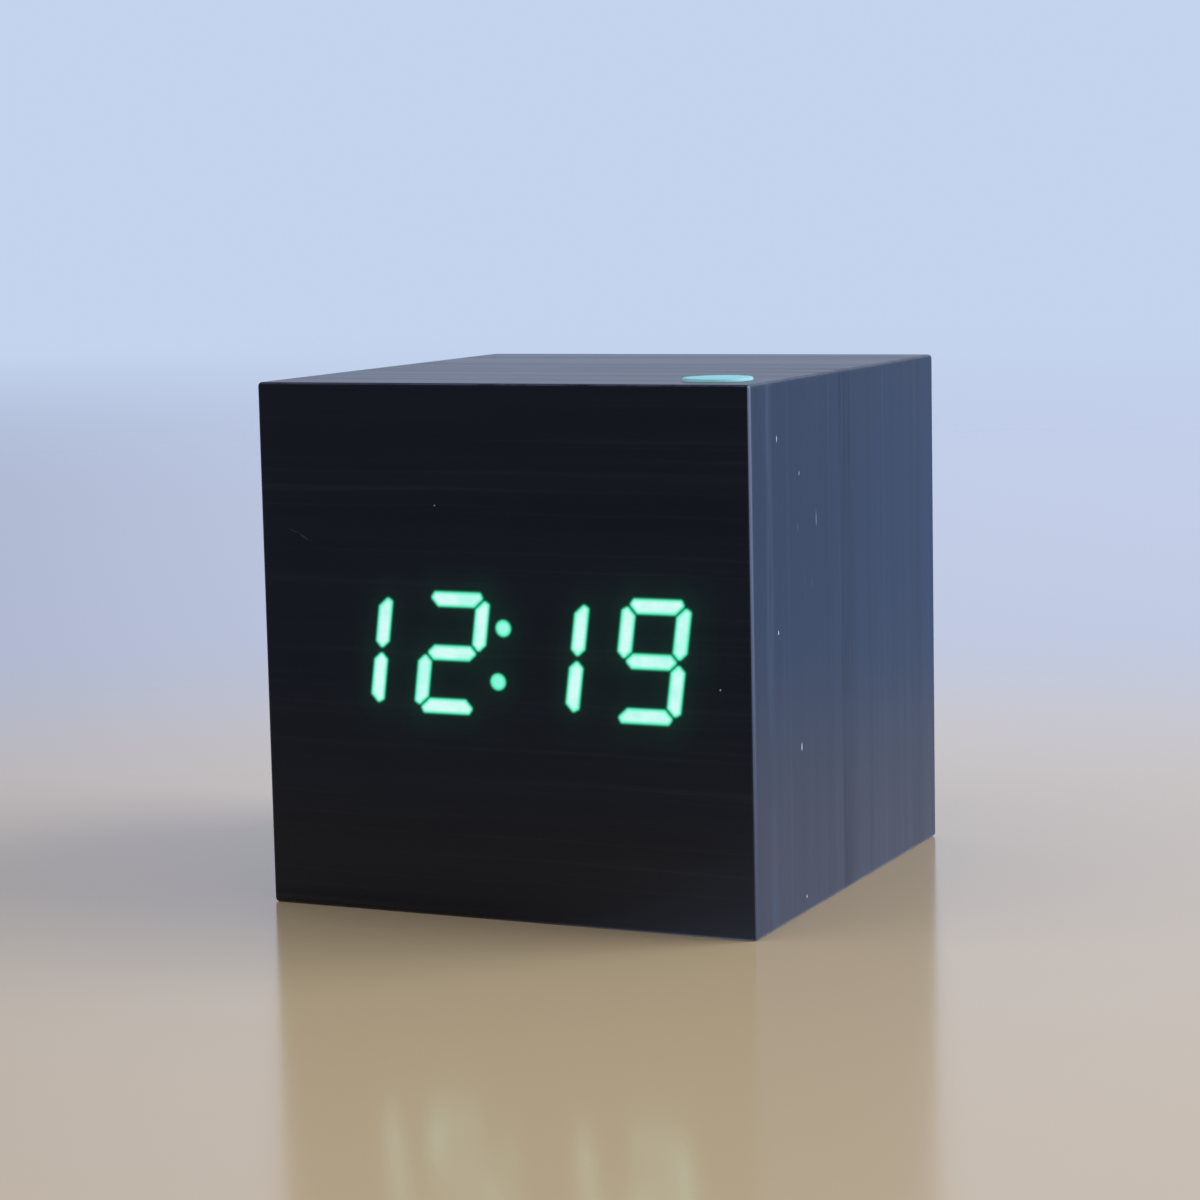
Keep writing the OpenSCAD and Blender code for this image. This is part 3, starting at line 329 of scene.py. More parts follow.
def veneer_grain_group():
    """Grain of a thin wood sheet. X of the place runs across the grain, Y along it, in millimetres."""
    tree, given, result = new_group(
        "veneer_grain",
        [("Place", "Vector")],
        [(label, "Float") for label in ("Bands", "Streaks", "Fibres", "Pores", "Height")],
    )
    waver = drawn_noise(tree, given["Place"], GRAIN_WAVER)
    swayed = vector_maths(tree, "ADD", given["Place"], combined(tree, X=waver))[0]
    bands = drawn_noise(tree, swayed, GRAIN_BANDS, 3.0, 0.6)
    streaks = spanned(tree, drawn_noise(tree, swayed, GRAIN_STREAKS, 3.0, 0.6), 0.52, 0.72)
    fibres = drawn_noise(tree, swayed, GRAIN_FIBRES, 4.0, 0.6)
    pores = spanned(tree, drawn_noise(tree, swayed, GRAIN_PORES, 2.0, 0.5), 0.60, 0.74)
    height = minus(tree, times(tree, fibres, 0.55), times(tree, pores, 0.5))
    fill(tree, result, Bands=bands, Streaks=streaks, Fibres=fibres, Pores=pores, Height=height)
    return tree


def nick_group():
    """Mask of one small mark of use round a middle, ragged at its rim."""
    tree, given, result = new_group(
        "nick",
        [("Place", "Vector"), ("Middle", "Vector", (0, 0, 0)), ("Half size", "Vector", (1, 1, 1)),
         ("Turn", "Vector", (0, 0, 0))],
        [("Mask", "Float")],
    )
    away = vector_maths(tree, "SUBTRACT", given["Place"], given["Middle"])[0]
    away = stretched(tree, away, (1.0, 1.0, 1.0), given["Turn"])
    share = vector_maths(tree, "DIVIDE", away, given["Half size"])[0]
    reach = vector_maths(tree, "LENGTH", share)["Value"]
    ragged = plus(tree, reach, times(tree, noise(tree, given["Place"], NICK_RAGGED, 2.0), 0.8))
    fill(tree, result, Mask=spanned(tree, ragged, 1.55, 1.05))
    return tree


def surface_life_group():
    """Slight unevenness of a made surface: cloudy tone, fine speckle and a height for the bump."""
    tree, given, result = new_group(
        "surface_life",
        [("Place", "Vector"), ("Cloud", "Float", 0.2), ("Speckle", "Float", 4.0)],
        [("Tone", "Float"), ("Height", "Float")],
    )
    cloud = noise(tree, given["Place"], given["Cloud"])
    speckle = noise(tree, given["Place"], given["Speckle"], 3.0, 0.6)
    tone = plus(tree, times(tree, cloud, 0.65), times(tree, speckle, 0.35))
    fill(tree, result, Tone=tone, Height=speckle)
    return tree


def wear_and_highlight_group():
    """Mask of the rubbed outer edges, plus a painted highlight on the edge between front and right side."""
    tree, given, result = new_group("edge_wear_and_painted_highlight", [("Place", "Vector")], [("Mask", "Float")])
    parts = split(tree, given["Place"])
    half = cube_half / MM
    in_x = minus(tree, half, maths(tree, "ABSOLUTE", parts["X"]))
    in_y = minus(tree, half, maths(tree, "ABSOLUTE", parts["Y"]))
    in_z = minus(tree, half, maths(tree, "ABSOLUTE", minus(tree, parts["Z"], half)))
    least = maths(tree, "MINIMUM", in_x, in_y)
    most = maths(tree, "MAXIMUM", in_x, in_y)
    second = maths(tree, "MAXIMUM", least, maths(tree, "MINIMUM", most, in_z))
    patches = noise(tree, given["Place"], RUBBED_PATCHES, 4.0, 0.65)
    rubbed = times(
        tree, spanned(tree, second, *RUBBED_IN), spanned(tree, patches, 0.25, 0.6, 0.0, RUBBED_AMOUNT))
    # Painted highlight on the edge between front and right side, brighter towards the top
    bright = spanned(tree, parts["Z"], 0.0, 2 * half, *PAINTED_HIGHLIGHT_AMOUNT)
    for mask in (spanned(tree, in_x, *PAINTED_HIGHLIGHT_X), spanned(tree, in_y, *PAINTED_HIGHLIGHT_Y),
                 maths(tree, "GREATER_THAN", parts["X"], 0.0), maths(tree, "LESS_THAN", parts["Y"], 0.0)):
        bright = times(tree, bright, mask)
    fill(tree, result, Mask=maths(tree, "MAXIMUM", rubbed, bright))
    return tree


def stripe_group():
    """Mask of one long stripe along the grain: from its start across to its peak and down to its end."""
    tree, given, result = new_group(
        "stripe",
        [("Place", "Vector"), ("Start", "Float", 0.0), ("Peak", "Float", 0.5), ("End", "Float", 1.0)],
        [("Mask", "Float")],
    )
    waver = minus(tree, drawn_noise(tree, given["Place"], STRIPE_WAVER), 0.5)
    across = plus(tree, split(tree, given["Place"])["X"], waver)
    rise = spanned(tree, across, given["Start"], given["Peak"])
    fall = spanned(tree, across, given["End"], given["Peak"])
    fade = spanned(tree, drawn_noise(tree, given["Place"], STRIPE_FADE), 0.30, 0.55, 0.35, 1.0)
    fill(tree, result, Mask=times(tree, times(tree, rise, fall), fade))
    return tree


VENEER_GRAIN = veneer_grain_group()
NICK = nick_group()
SURFACE_LIFE = surface_life_group()
EDGE_WEAR_AND_HIGHLIGHT = wear_and_highlight_group()
STRIPE = stripe_group()


# Finishes of the veneer

VENEER_DARK = (0.0028, 0.0032, 0.0052)
VENEER_LIGHT = (0.0085, 0.0095, 0.0150)
VENEER_STREAK = (0.0190, 0.0230, 0.0330)
NICK_PALE = (0.55, 0.58, 0.64, 1.0)
# Pale blue of the rubbed edges, also used for the painted highlight on the front-right edge
WORN_EDGE_AND_HIGHLIGHT = (0.26, 0.32, 0.50, 1.0)
VENEER_IOR = 1.42
VENEER_ROUGH = 0.33
VENEER_ROUGH_SPREAD = 0.04
BAND_SHARE = 0.75
PORE_SHARE = 0.6
PORE_SHADE = 0.4
FIBRE_ROUGHER = 0.05
NICK_ROUGHER = 0.3
NICK_DEPTH = 0.8

# Contrast of the grain and depth of its relief in millimetres
FRONT_GRAIN = (0.3, 0.005)
SIDE_GRAIN = (0.9, 0.009)

# Light that comes through the front sheet, its distances in millimetres from a segment's outline
UNLIT = (0.0, 0.0, 0.0, 1.0)
RIM_LIGHT = (0.045, 0.800, 0.380)
MINT_LIGHT = (0.250, 0.935, 0.720)
CORE_LIGHT = (0.640, 0.960, 0.900)
RIM_AT = 0.05
RIM_SOFT = 0.05
HALO_LIGHT = 0.011
HALO_REACH = 1.4
CORE_FROM = -0.04
CORE_TO = 0.40
CORE_SHARE = {"colon_dots": 0.55}
CORE_SHARE_DIGITS = 0.97
CORE_CLOUDS = 0.4
VEIL_FIBRES = (3.0, 0.5, 1.0)
STEEPEST = 40


def veneer_base(tree, shader, across_along, on_side, marks, contrast, depth_mm, stripes=()):
    """Satin black open-pored veneer with its grain, stripes, small marks, rubbed edges and a painted edge
    highlight.
    """
    place = in_millimetres(tree)
    grain = placed(tree, VENEER_GRAIN, Place=across_along)
    tone = times(tree, grain["Bands"], BAND_SHARE)
    tone = plus(tree, tone, times(tree, grain["Fibres"], 1 - BAND_SHARE))
    tone = spanned(tree, tone, 0.36, 0.64, 0.0, contrast)
    colour = mixed(tree, tone, shade(VENEER_DARK), shade(VENEER_LIGHT))
    colour = mixed(tree, times(tree, grain["Streaks"], contrast), colour, shade(VENEER_STREAK))
    dull = 0.0
    for start, peak, end, stain, stripe_rougher in stripes:
        stripe = placed(tree, STRIPE, Place=across_along, Start=start, Peak=peak, End=end)["Mask"]
        stripe = times(tree, stripe, spanned(tree, grain["Fibres"], 0.42, 0.58, 0.2, 1.0))
        colour = mixed(tree, stripe, colour, stain)
        dull = plus(tree, dull, times(tree, stripe, stripe_rougher))
    colour = mixed(tree, times(tree, grain["Pores"], PORE_SHARE), colour, shade(VENEER_DARK, PORE_SHADE))
    nicked = 0.0
    for (along, high), (half_w, half_h), pale, lean in marks:
        middle = (cube_half / MM, along, high) if on_side else (along, -cube_half / MM, high)
        half = (1.0, half_w, half_h) if on_side else (half_w, 1.0, half_h)
        turn = (0, math.radians(lean), 0)
        spot = placed(tree, NICK, Place=place, Middle=middle, Half_size=half, Turn=turn)
        nicked = maths(tree, "MAXIMUM", nicked, times(tree, spot["Mask"], pale))
    # Rubbed edges and the painted highlight on the front-right edge, both in the pale blue
    colour = mixed(tree, placed(tree, EDGE_WEAR_AND_HIGHLIGHT, Place=place)["Mask"], colour, WORN_EDGE_AND_HIGHLIGHT)
    spread = VENEER_ROUGH_SPREAD * contrast
    rough = spanned(tree, grain["Bands"], 0.3, 0.7, VENEER_ROUGH - spread, VENEER_ROUGH + spread)
    for rougher in (times(tree, grain["Fibres"], FIBRE_ROUGHER), dull, times(tree, nicked, NICK_ROUGHER)):
        rough = plus(tree, rough, rougher)
    height = minus(tree, grain["Height"], times(tree, nicked, NICK_DEPTH))
    fill(tree, shader, Base_Color=mixed(tree, nicked, colour, NICK_PALE), Roughness=rough,
         Normal=bump(tree, height, depth_mm), IOR=VENEER_IOR)


def front_veneer_finish():
    """The veneer with its grain from side to side, and the segments' light coming through it."""
    material, tree, shader = new_material("front_veneer_lit")
    place = in_millimetres(tree)
    parts = split(tree, place)
    across = combined(tree, X=parts["Z"], Y=parts["X"])
    veneer_base(tree, shader, across, False, FRONT_SPECKS, *FRONT_GRAIN)
    light = node(tree, "ShaderNodeAttribute", attribute_name="segment_light").outputs["Fac"]
    core = node(tree, "ShaderNodeAttribute", attribute_name="segment_core").outputs["Fac"]
    cloudy = spanned(tree, noise(tree, place, CORE_CLOUDS, 2.0), 0.3, 0.7, 0.80, 1.10)
    core = times(tree, core, cloudy, clamp=True)
    shine = ramp(tree, core, [(0.0, RIM_LIGHT), (0.5, MINT_LIGHT), (1.0, CORE_LIGHT)])
    veil = spanned(tree, drawn_noise(tree, across, VEIL_FIBRES, 3.0), 0.25, 0.75, 0.97, 1.03)
    amount = times(tree, light, veil, clamp=True)
    fill(tree, shader, Emission_Color=mixed(tree, amount, UNLIT, shine), Emission_Strength=1.0)
    return material


def side_veneer_finish():
    """The veneer with its grain running round the cube, read from the sheet's unfolded map."""
    material, tree, shader = new_material("side_veneer")
    parts = split(tree, node(tree, "ShaderNodeUVMap", uv_map="unfolded").outputs[0])
    across = combined(tree, X=times(tree, parts["Y"], UNFOLDED_MM), Y=times(tree, parts["X"], UNFOLDED_MM))
    veneer_base(tree, shader, across, True, SIDE_NICKS, *SIDE_GRAIN, SIDE_STRIPES)
    return material


# Other finishes

ROUGH_SPREAD = 0.06
# Where the fibreboard's black stain starts and is full, in millimetres from the rear and from the underside
STAIN_BEHIND = (1.6, 1.1)
STAIN_UNDER = (0.9, 0.5)
# Tracks on the boards: how many to a millimetre, and where their edge lies between two of them
TRACK_ROOM = (0.6, 1.0, 0.6)
TRACK_EDGE = (0.38, 0.42)
# Where a cell's pale band and its metal end start and are full, in millimetres from its middle
CELL_BAND = (12.0, 12.2)
CELL_METAL = (20.5, 20.8)
# Plain surfaces inside: colour, roughness, metallic, clouds and speckles to a millimetre, spread of tone,
# relief in millimetres, and the CAD pieces that have it
INSIDE_SURFACES = {
    "reflector_plastic": ((0.06, 0.062, 0.066), 0.6, 0.0, 0.2, 5.0, 0.2, 0.004, ["display_housing"]),
    "milky_filling": ((0.55, 0.58, 0.55), 0.35, 0.0, 0.8, 3.0, 0.1, 0.004, ["dark_segments"]),
    "light_chip": ((0.85, 0.72, 0.22), 0.3, 0.0, 2.0, 9.0, 0.15, 0.004, ["led_chips"]),
    "tinned_metal": ((0.66, 0.66, 0.64), 0.32, 1.0, 0.6, 6.0, 0.15, 0.004, [
        "display_pins", "chip_leads", "crystal", "microphone", "coin_cell"]),
    "bright_screw": ((0.60, 0.60, 0.61), 0.3, 1.0, 0.8, 8.0, 0.2, 0.004, ["board_screws", "switch_screws"]),
    "chip_resin": ((0.016, 0.016, 0.017), 0.55, 0.0, 0.5, 9.0, 0.3, 0.01, [
        "clock_chip", "resistors", "buzzer", "coin_holder"]),
    "drum_sleeve": ((0.02, 0.024, 0.06), 0.35, 0.0, 0.3, 4.0, 0.2, 0.004, ["capacitor"]),
    "connector_nylon": ((0.66, 0.63, 0.55), 0.45, 0.0, 0.2, 4.0, 0.1, 0.004, [
        "lead_plug", "board_header", "switch_header"]),
    "ribbon_vinyl": ((0.28, 0.30, 0.33), 0.45, 0.0, 0.4, 1.6, 0.2, 0.02, ["ribbon_cable"]),
    "switch_plastic": ((0.02, 0.02, 0.022), 0.4, 0.0, 0.3, 5.0, 0.3, 0.004, [
        "switches", "set_plunger", "up_plunger", "down_plunger"]),
    "brass_pin": ((0.72, 0.53, 0.22), 0.25, 1.0, 0.3, 2.0, 0.1, 0.0005, ["socket_pin"]),
    "contact_plating": ((0.68, 0.66, 0.62), 0.26, 1.0, 0.3, 3.0, 0.14, 0.004, [
        "cell_springs", "link_plates", "end_plates"]),
    "red_insulation": ((0.45, 0.02, 0.015), 0.4, 0.0, 0.3, 4.0, 0.2, 0.004, ["red_lead"]),
    "black_insulation": ((0.014, 0.014, 0.015), 0.4, 0.0, 0.3, 4.0, 0.3, 0.004, ["black_lead"]),
}


def made_surface(name, colour, roughness, metallic, clouds, speckles, spread, relief):
    """A finish with one main colour, uneven in tone and gloss as the real surface is."""
    material, tree, shader = new_material(name)
    life = uneven(tree, in_millimetres(tree), clouds, speckles)
    tone = spanned(tree, life["Tone"], 0.35, 0.65)
    toned = mixed(tree, tone, shade(colour, 1.0 - spread), shade(colour, 1.0 + spread))
    rough = plus(tree, times(tree, tone, 2 * ROUGH_SPREAD), roughness - ROUGH_SPREAD)
    fill(tree, shader, Base_Color=toned, Roughness=rough, Normal=bump(tree, life["Height"], relief),
         Metallic=metallic)
    return material


def fibreboard_finish():
    """Brown fibreboard, stained black where its cut edges show underneath and behind."""
    material, tree, shader = new_material("fibreboard")
    place = in_millimetres(tree)
    life = uneven(tree, place, clouds=0.4, speckles=5.0)
    brown = mixed(tree, life["Tone"], (0.10, 0.062, 0.036, 1.0), (0.26, 0.17, 0.10, 1.0))
    black = mixed(tree, life["Height"], (0.004, 0.004, 0.005, 1.0), (0.016, 0.015, 0.016, 1.0))
    parts = split(tree, place)
    behind = spanned(tree, parts["Y"], *[cad_box[1][1] / MM - room for room in STAIN_BEHIND])
    under = spanned(tree, parts["Z"], *STAIN_UNDER)
    colour = mixed(tree, maths(tree, "MAXIMUM", behind, under), brown, black)
    fill(tree, shader, Base_Color=colour, Roughness=0.78, Normal=bump(tree, life["Height"], 0.03))
    return material


def raw_wood_finish():
    material, tree, shader = new_material("raw_wood_blocks")
    grain = placed(tree, VENEER_GRAIN, Place=in_millimetres(tree))
    colour = mixed(tree, grain["Fibres"], (0.34, 0.22, 0.11, 1.0), (0.62, 0.46, 0.27, 1.0))
    fill(tree, shader, Base_Color=colour, Roughness=0.7, Normal=bump(tree, grain["Height"], 0.03))
    return material


def teal_dot_finish():
    """Soft teal pad, with painted light that makes its rim wall paler towards its foot."""
    material, tree, shader = new_material("teal_dot")
    place = in_millimetres(tree)
    life = uneven(tree, place, clouds=0.35, speckles=6.0)
    teal = mixed(tree, life["Tone"], (0.19, 0.55, 0.57, 1.0), (0.26, 0.66, 0.70, 1.0))
    height = split(tree, place)["Z"]
    # Painted light: the rim wall grows paler towards its foot, where it would otherwise lie in shade
    low = spanned(tree, height, dot_hi.z / MM - DOT_PAINTED_LIGHT_START, dot_lo.z / MM + DOT_PAINTED_LIGHT_FULL)
    colour = mixed(tree, low, teal, (0.46, 0.88, 0.90, 1.0))
    rough = spanned(tree, life["Height"], 0.3, 0.7, 0.42, 0.55)
    fill(tree, shader, Base_Color=colour, Roughness=rough, Normal=bump(tree, life["Height"], 0.004))
    return material


def lit_filling_finish():
    material, tree, shader = new_material("lit_filling")
    life = uneven(tree, in_millimetres(tree), clouds=0.8, speckles=3.0)
    green = mixed(tree, life["Tone"], (0.10, 0.80, 0.36, 1.0), (0.45, 0.95, 0.68, 1.0))
    fill(tree, shader, Base_Color=green, Emission_Color=green, Emission_Strength=1.0, Roughness=0.4)
    return material


def moulded_plastic_finish(name, colour, roughness, spark_mm=0.32, relief=0.02):
    """Injection-moulded plastic with a spark-eroded texture."""
    material, tree, shader = new_material(name)
    place = in_millimetres(tree)
    sparks = {"Vector": place, "Scale": 1.0 / spark_mm}
    cells = node(tree, "ShaderNodeTexVoronoi", sparks, feature="SMOOTH_F1").outputs
    fine = noise(tree, place, 7.0)
    height = plus(tree, cells["Distance"], times(tree, fine, 0.5))
    life = uneven(tree, place, clouds=0.06, speckles=2.0)
    toned = mixed(tree, life["Tone"], shade(colour, 0.75), shade(colour, 1.3))
    rough = spanned(tree, fine, 0.3, 0.7, roughness - 0.06, roughness + 0.08)
    fill(tree, shader, Base_Color=toned, Roughness=rough, Normal=bump(tree, height, relief))
    return material


def circuit_finish(name, laminate, lacquer):
    """Glass-fibre board with lacquer and the faint relief of the tracks under it."""
    material, tree, shader = new_material(name)
    place = in_millimetres(tree)
    weave = node(tree, "ShaderNodeTexVoronoi", {"Vector": stretched(tree, place, TRACK_ROOM), "Scale": 1.0},
                 feature="F1", distance="CHEBYCHEV").outputs
    track = spanned(tree, weave["Distance"], *TRACK_EDGE)
    life = uneven(tree, place, clouds=0.3, speckles=4.0)
    colour = mixed(tree, track, shade(lacquer), shade(laminate))
    colour = mixed(tree, times(tree, life["Tone"], 0.4), colour, shade(lacquer, 0.5))
    fill(tree, shader, Base_Color=colour, Roughness=0.32, Normal=bump(tree, track, 0.03))
    return material


def cell_wrap_finish():
    """Shrink-wrapped cell: bare metal ends, a plain two-tone wrap between them."""
    material, tree, shader = new_material("cell_wrap")
    place = in_millimetres(tree)
    cell_lo, cell_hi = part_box("left_cell")
    along = minus(tree, split(tree, place)["Y"], (cell_lo.y + cell_hi.y) / 2 / MM)
    from_middle = maths(tree, "ABSOLUTE", along)
    metal = spanned(tree, from_middle, *CELL_METAL)
    band = spanned(tree, from_middle, *CELL_BAND)
    life = uneven(tree, place, clouds=0.3, speckles=3.0)
    wrap = mixed(tree, band, (0.05, 0.16, 0.15, 1.0), (0.62, 0.63, 0.62, 1.0))
    wrap = mixed(tree, times(tree, life["Tone"], 0.3), wrap, (0.02, 0.03, 0.03, 1.0))
    colour = mixed(tree, metal, wrap, (0.62, 0.60, 0.56, 1.0))
    fill(tree, shader, Base_Color=colour, Metallic=metal, Roughness=0.3,
         Normal=bump(tree, life["Height"], 0.006))
    return material


# Mesh helpers

def linked(name, data):
    made = bpy.data.objects.new(name, data)
    scene.collection.objects.link(made)
    return made


def new_piece(name, vertices, faces, body, finish, replaced):
    mesh = bpy.data.meshes.new(name)
    mesh.from_pydata([tuple(v) for v in vertices], [], faces)
    mesh.validate()
    return dress(name, mesh, body, finish, replaced)


def dress(name, mesh, body, finish, replaced, flat_faces=()):
    """Makes a mesh the piece that stands for a CAD node, with its finish and smooth curves."""
    piece = linked(name, mesh)
    mesh.materials.clear()
    mesh.materials.append(finish)
    mesh.shade_smooth()
    mesh.set_sharp_from_angle(angle=SMOOTH_UNDER)
    for k in flat_faces:
        mesh.polygons[k].use_smooth = False
    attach(piece, body)
    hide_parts(replaced)
    return piece


def solids_of(name):
    """The separate solids of a CAD node, each as an array of its points."""
    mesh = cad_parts[name].data
    points = np.array([v.co for v in mesh.vertices])
    keys = [tuple(row) for row in np.round(points / SAME_POINT).astype(int)]
    first = {}
    root = [first.setdefault(key, k) for k, key in enumerate(keys)]

    def top(k):
        while root[k] != k:
            root[k] = root[root[k]]
            k = root[k]
        return k

    for face in mesh.polygons:
        corners = list(face.vertices)
        for other in corners[1:]:
            root[top(other)] = top(corners[0])
    groups = {}
    for k in range(len(points)):
        groups.setdefault(top(k), []).append(k)
    return [points[rows] for rows in groups.values()]


def put_in_order(bm):
    """Sorts points, edges and faces, because a bevel leaves them in another order each run."""
    for k, v in enumerate(sorted(bm.verts, key=lambda v: v.co[:])):
        v.index = k
    bm.verts.sort()
    for elements in (bm.edges, bm.faces):
        for k, e in enumerate(sorted(elements, key=lambda e: sorted(v.index for v in e.verts))):
            e.index = k
        elements.sort()


def softened(node_name, piece_name, body, finish, width=MOULD_EDGE):
    """A copy of a CAD piece, its corners joined and its flat faces whole, with slightly rounded edges."""
    bm = bmesh.new()
    bm.from_mesh(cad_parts[node_name].data)
    bmesh.ops.remove_doubles(bm, verts=bm.verts, dist=JOINED_WITHIN)
    bmesh.ops.dissolve_limit(bm, angle_limit=FLAT_WITHIN, verts=bm.verts, edges=bm.edges)
    sharp = [e for e in bm.edges if len(e.link_faces) == 2 and e.calc_face_angle(0.0) > BEVELLED_OVER]
    bmesh.ops.bevel(
        bm, geom=sharp, offset=width, segments=2, profile=0.5, affect="EDGES", clamp_overlap=True)
    for face in bm.faces:
        face.smooth = len(face.verts) <= 4 and face.calc_area() < CURVED_FACE
    bmesh.ops.triangulate(bm, faces=[f for f in bm.faces if len(f.verts) > 4])
    put_in_order(bm)
    flat = [face.index for face in bm.faces if not face.smooth]
    mesh = bpy.data.meshes.new(piece_name)
    bm.to_mesh(mesh)
    bm.free()
    dress(piece_name, mesh, body, finish, node_name, flat)


def turned(profile, to_place):
    """Points and faces of a profile of radius and height turned round its axis, closed at both ends."""
    steps = TURN_STEPS
    points = [to_place @ Vector((0, 0, profile[0][1]))]
    rings = profile[1:-1]
    for radius, height in rings:
        for k in range(steps):
            a = 2 * math.pi * k / steps
            points.append(to_place @ Vector((radius * math.cos(a), radius * math.sin(a), height)))
    points.append(to_place @ Vector((0, 0, profile[-1][1])))
    last = len(points) - 1
    faces = [(0, 1 + (k + 1) % steps, 1 + k) for k in range(steps)]
    for row in range(len(rings) - 1):
        a = 1 + row * steps
        for k in range(steps):
            n = (k + 1) % steps
            faces.append((a + k, a + n, a + steps + n, a + steps + k))
    a = 1 + (len(rings) - 1) * steps
    faces += [(a + k, a + (k + 1) % steps, last) for k in range(steps)]
    return points, faces


def sides(line):
    """Every point of a closed line with the next one."""
    return zip(line, line[1:] + line[:1])


def arc(middle, radius, start, end, steps):
    """Points of an arc in the plane of radius and height, angles in degrees."""
    angles = [math.radians(start + (end - start) * k / steps) for k in range(steps + 1)]
    return [(middle[0] + radius * math.cos(a), middle[1] + radius * math.sin(a)) for a in angles]


def bowed(radius, level, rise, degrees):
    """Points from a rim inwards over a shallow crown, or into a dish where the rise is negative."""
    angles = [math.radians(a) for a in degrees]
    return [(radius * math.cos(a), level + rise * math.sin(a)) for a in angles]


# Front sheet, which the segments shine through

def stations(low, high, fine_low, fine_high):
    """Places along one side of the sheet: close together over the digits, wide elsewhere."""
    def evenly(a, b, step):
        count = max(1, round((b - a) / step))
        return [a + (b - a) * k / count for k in range(count + 1)]
    rows = evenly(low, fine_low, PLAIN_GRID)[:-1]
    rows += evenly(fine_low, fine_high, DIGIT_GRID)
    rows += evenly(fine_high, high, PLAIN_GRID)[1:]
    return rows


def with_round_edges(rows):
    """Adds the steps round both edges. Each entry is a place and its tilt."""
    tilts = [math.radians(90 * k / EDGE_STEPS) for k in range(1, EDGE_STEPS + 1)]
    before = [(rows[0], -t) for t in reversed(tilts)]
    after = [(rows[-1], t) for t in tilts]
    return before + [(row, 0.0) for row in rows] + after


def inset(outline, room):
    """A convex outline with every side moved inwards, as a list of points."""
    far = OUT_OF_REACH
    kept = [(-far, -far), (far, -far), (far, far), (-far, far)]
    for (ax, ay), (bx, by) in sides(outline):
        length = math.hypot(bx - ax, by - ay)
        nx, ny = (ay - by) / length, (bx - ax) / length
        level = nx * ax + ny * ay + room
        depths = [(p, nx * p[0] + ny * p[1] - level) for p in kept]
        cut = []
        for (p, d), (q, e) in sides(depths):
            if d >= 0:
                cut.append(p)
            if (d >= 0) != (e >= 0):
                t = d / (d - e)
                cut.append((p[0] + t * (q[0] - p[0]), p[1] + t * (q[1] - p[1])))
        kept = cut
    return kept


def lit_outlines():
    """The node and front outline of every lit segment and colon dot, in X and Z, anticlockwise."""
    outlines = []
    for name in LIT_NODES:
        for points in solids_of(name):
            face = points[points[:, 1] < points[:, 1].min() + FACE_WITHIN][:, [0, 2]]
            flat = sorted({(round(x, PLACE_DIGITS), round(z, PLACE_DIGITS)) for x, z in face})
            hull = [flat[k] for k in convex_hull_2d([Vector(p) for p in flat])]
            turn = sum(a[0] * b[1] - b[0] * a[1] for a, b in sides(hull))
            outlines.append((name, hull if turn > 0 else hull[::-1]))
    return outlines


def reach_from(outline, x, z):
    """Signed distance of many points from one outline with rounded corners, in metres."""
    core = inset(outline, SEGMENT_ROUND)
    least = np.full(x.shape, OUT_OF_REACH)
    inner = np.full(x.shape, OUT_OF_REACH)
    for (ax, az), (bx, bz) in sides(core):
        ex, ez = bx - ax, bz - az
        length = math.hypot(ex, ez)
        if length < NO_LENGTH:
            continue
        t = np.clip(((x - ax) * ex + (z - az) * ez) / length**2, 0, 1)
        least = np.minimum(least, np.hypot(x - ax - t * ex, z - az - t * ez))
        inner = np.minimum(inner, (ex * (z - az) - ez * (x - ax)) / length)
    return np.where(inner > 0, -inner, least) - SEGMENT_ROUND


def light_at(x, z):
    """Light through the sheet at many points, and how far each lies in a segment's white core."""
    light = np.zeros(x.shape)
    core = np.zeros(x.shape)
    for name, outline in lit_outlines():
        reach = reach_from(outline, x, z) / MM
        lit = 1.0 / (1.0 + np.exp(np.clip((reach - RIM_AT) / RIM_SOFT, -STEEPEST, STEEPEST)))
        light += lit + HALO_LIGHT * np.exp(-np.maximum(reach, 0) / HALO_REACH) * (reach > 0)
        share = CORE_SHARE.get(name, CORE_SHARE_DIGITS)
        core = np.maximum(core, share * np.clip((-reach - CORE_FROM) / (CORE_TO - CORE_FROM), 0, 1))
    return light, core


def store(mesh, name, values):
    layer = mesh.attributes.new(name, "FLOAT", "POINT")
    layer.data.foreach_set("value", np.asarray(values, np.float32))


def front_sheet():
    """One sheet with rounded edges and the segments' light stored on its points."""
    columns = stations(-inner_half, inner_half, housing_lo.x + DIGIT_ROOM_X, housing_hi.x - DIGIT_ROOM_X)
    rows = stations(edge_round, inner_top, housing_lo.z + DIGIT_ROOM_Z, housing_hi.z - DIGIT_ROOM_Z)
    across = with_round_edges(columns)
    upward = with_round_edges(rows)
    points = []
    for z, tilt_z in upward:
        for x, tilt_x in across:
            level = math.cos(tilt_x) * math.cos(tilt_z)
            lean = Vector((math.sin(tilt_x), level, math.sin(tilt_z))).normalized() * edge_round
            points.append((x + lean.x, front_hi.y - lean.y, z + lean.z))
    grid = np.arange(len(points)).reshape(len(upward), len(across))
    corners = (grid[:-1, :-1], grid[:-1, 1:], grid[1:, 1:], grid[1:, :-1])
    faces = np.stack(corners, axis=-1).reshape(-1, 4).tolist()
    rim = np.concatenate([grid[0], grid[1:, -1], grid[-1, -2::-1], grid[-2:0:-1, 0]]).tolist()
    faces += [(b, a, len(points)) for a, b in sides(rim)]
    points.append((0, front_hi.y, cube_half))
    piece = new_piece(
        "front_sheet", points, faces, "casing", front_veneer_finish(), "front_veneer")
    place = np.array(points)
    light, core = light_at(place[:, 0], place[:, 2])
    store(piece.data, "segment_light", np.clip(light, 0, 1))
    store(piece.data, "segment_core", core)


# Side sheet, folded over left side, top and right side

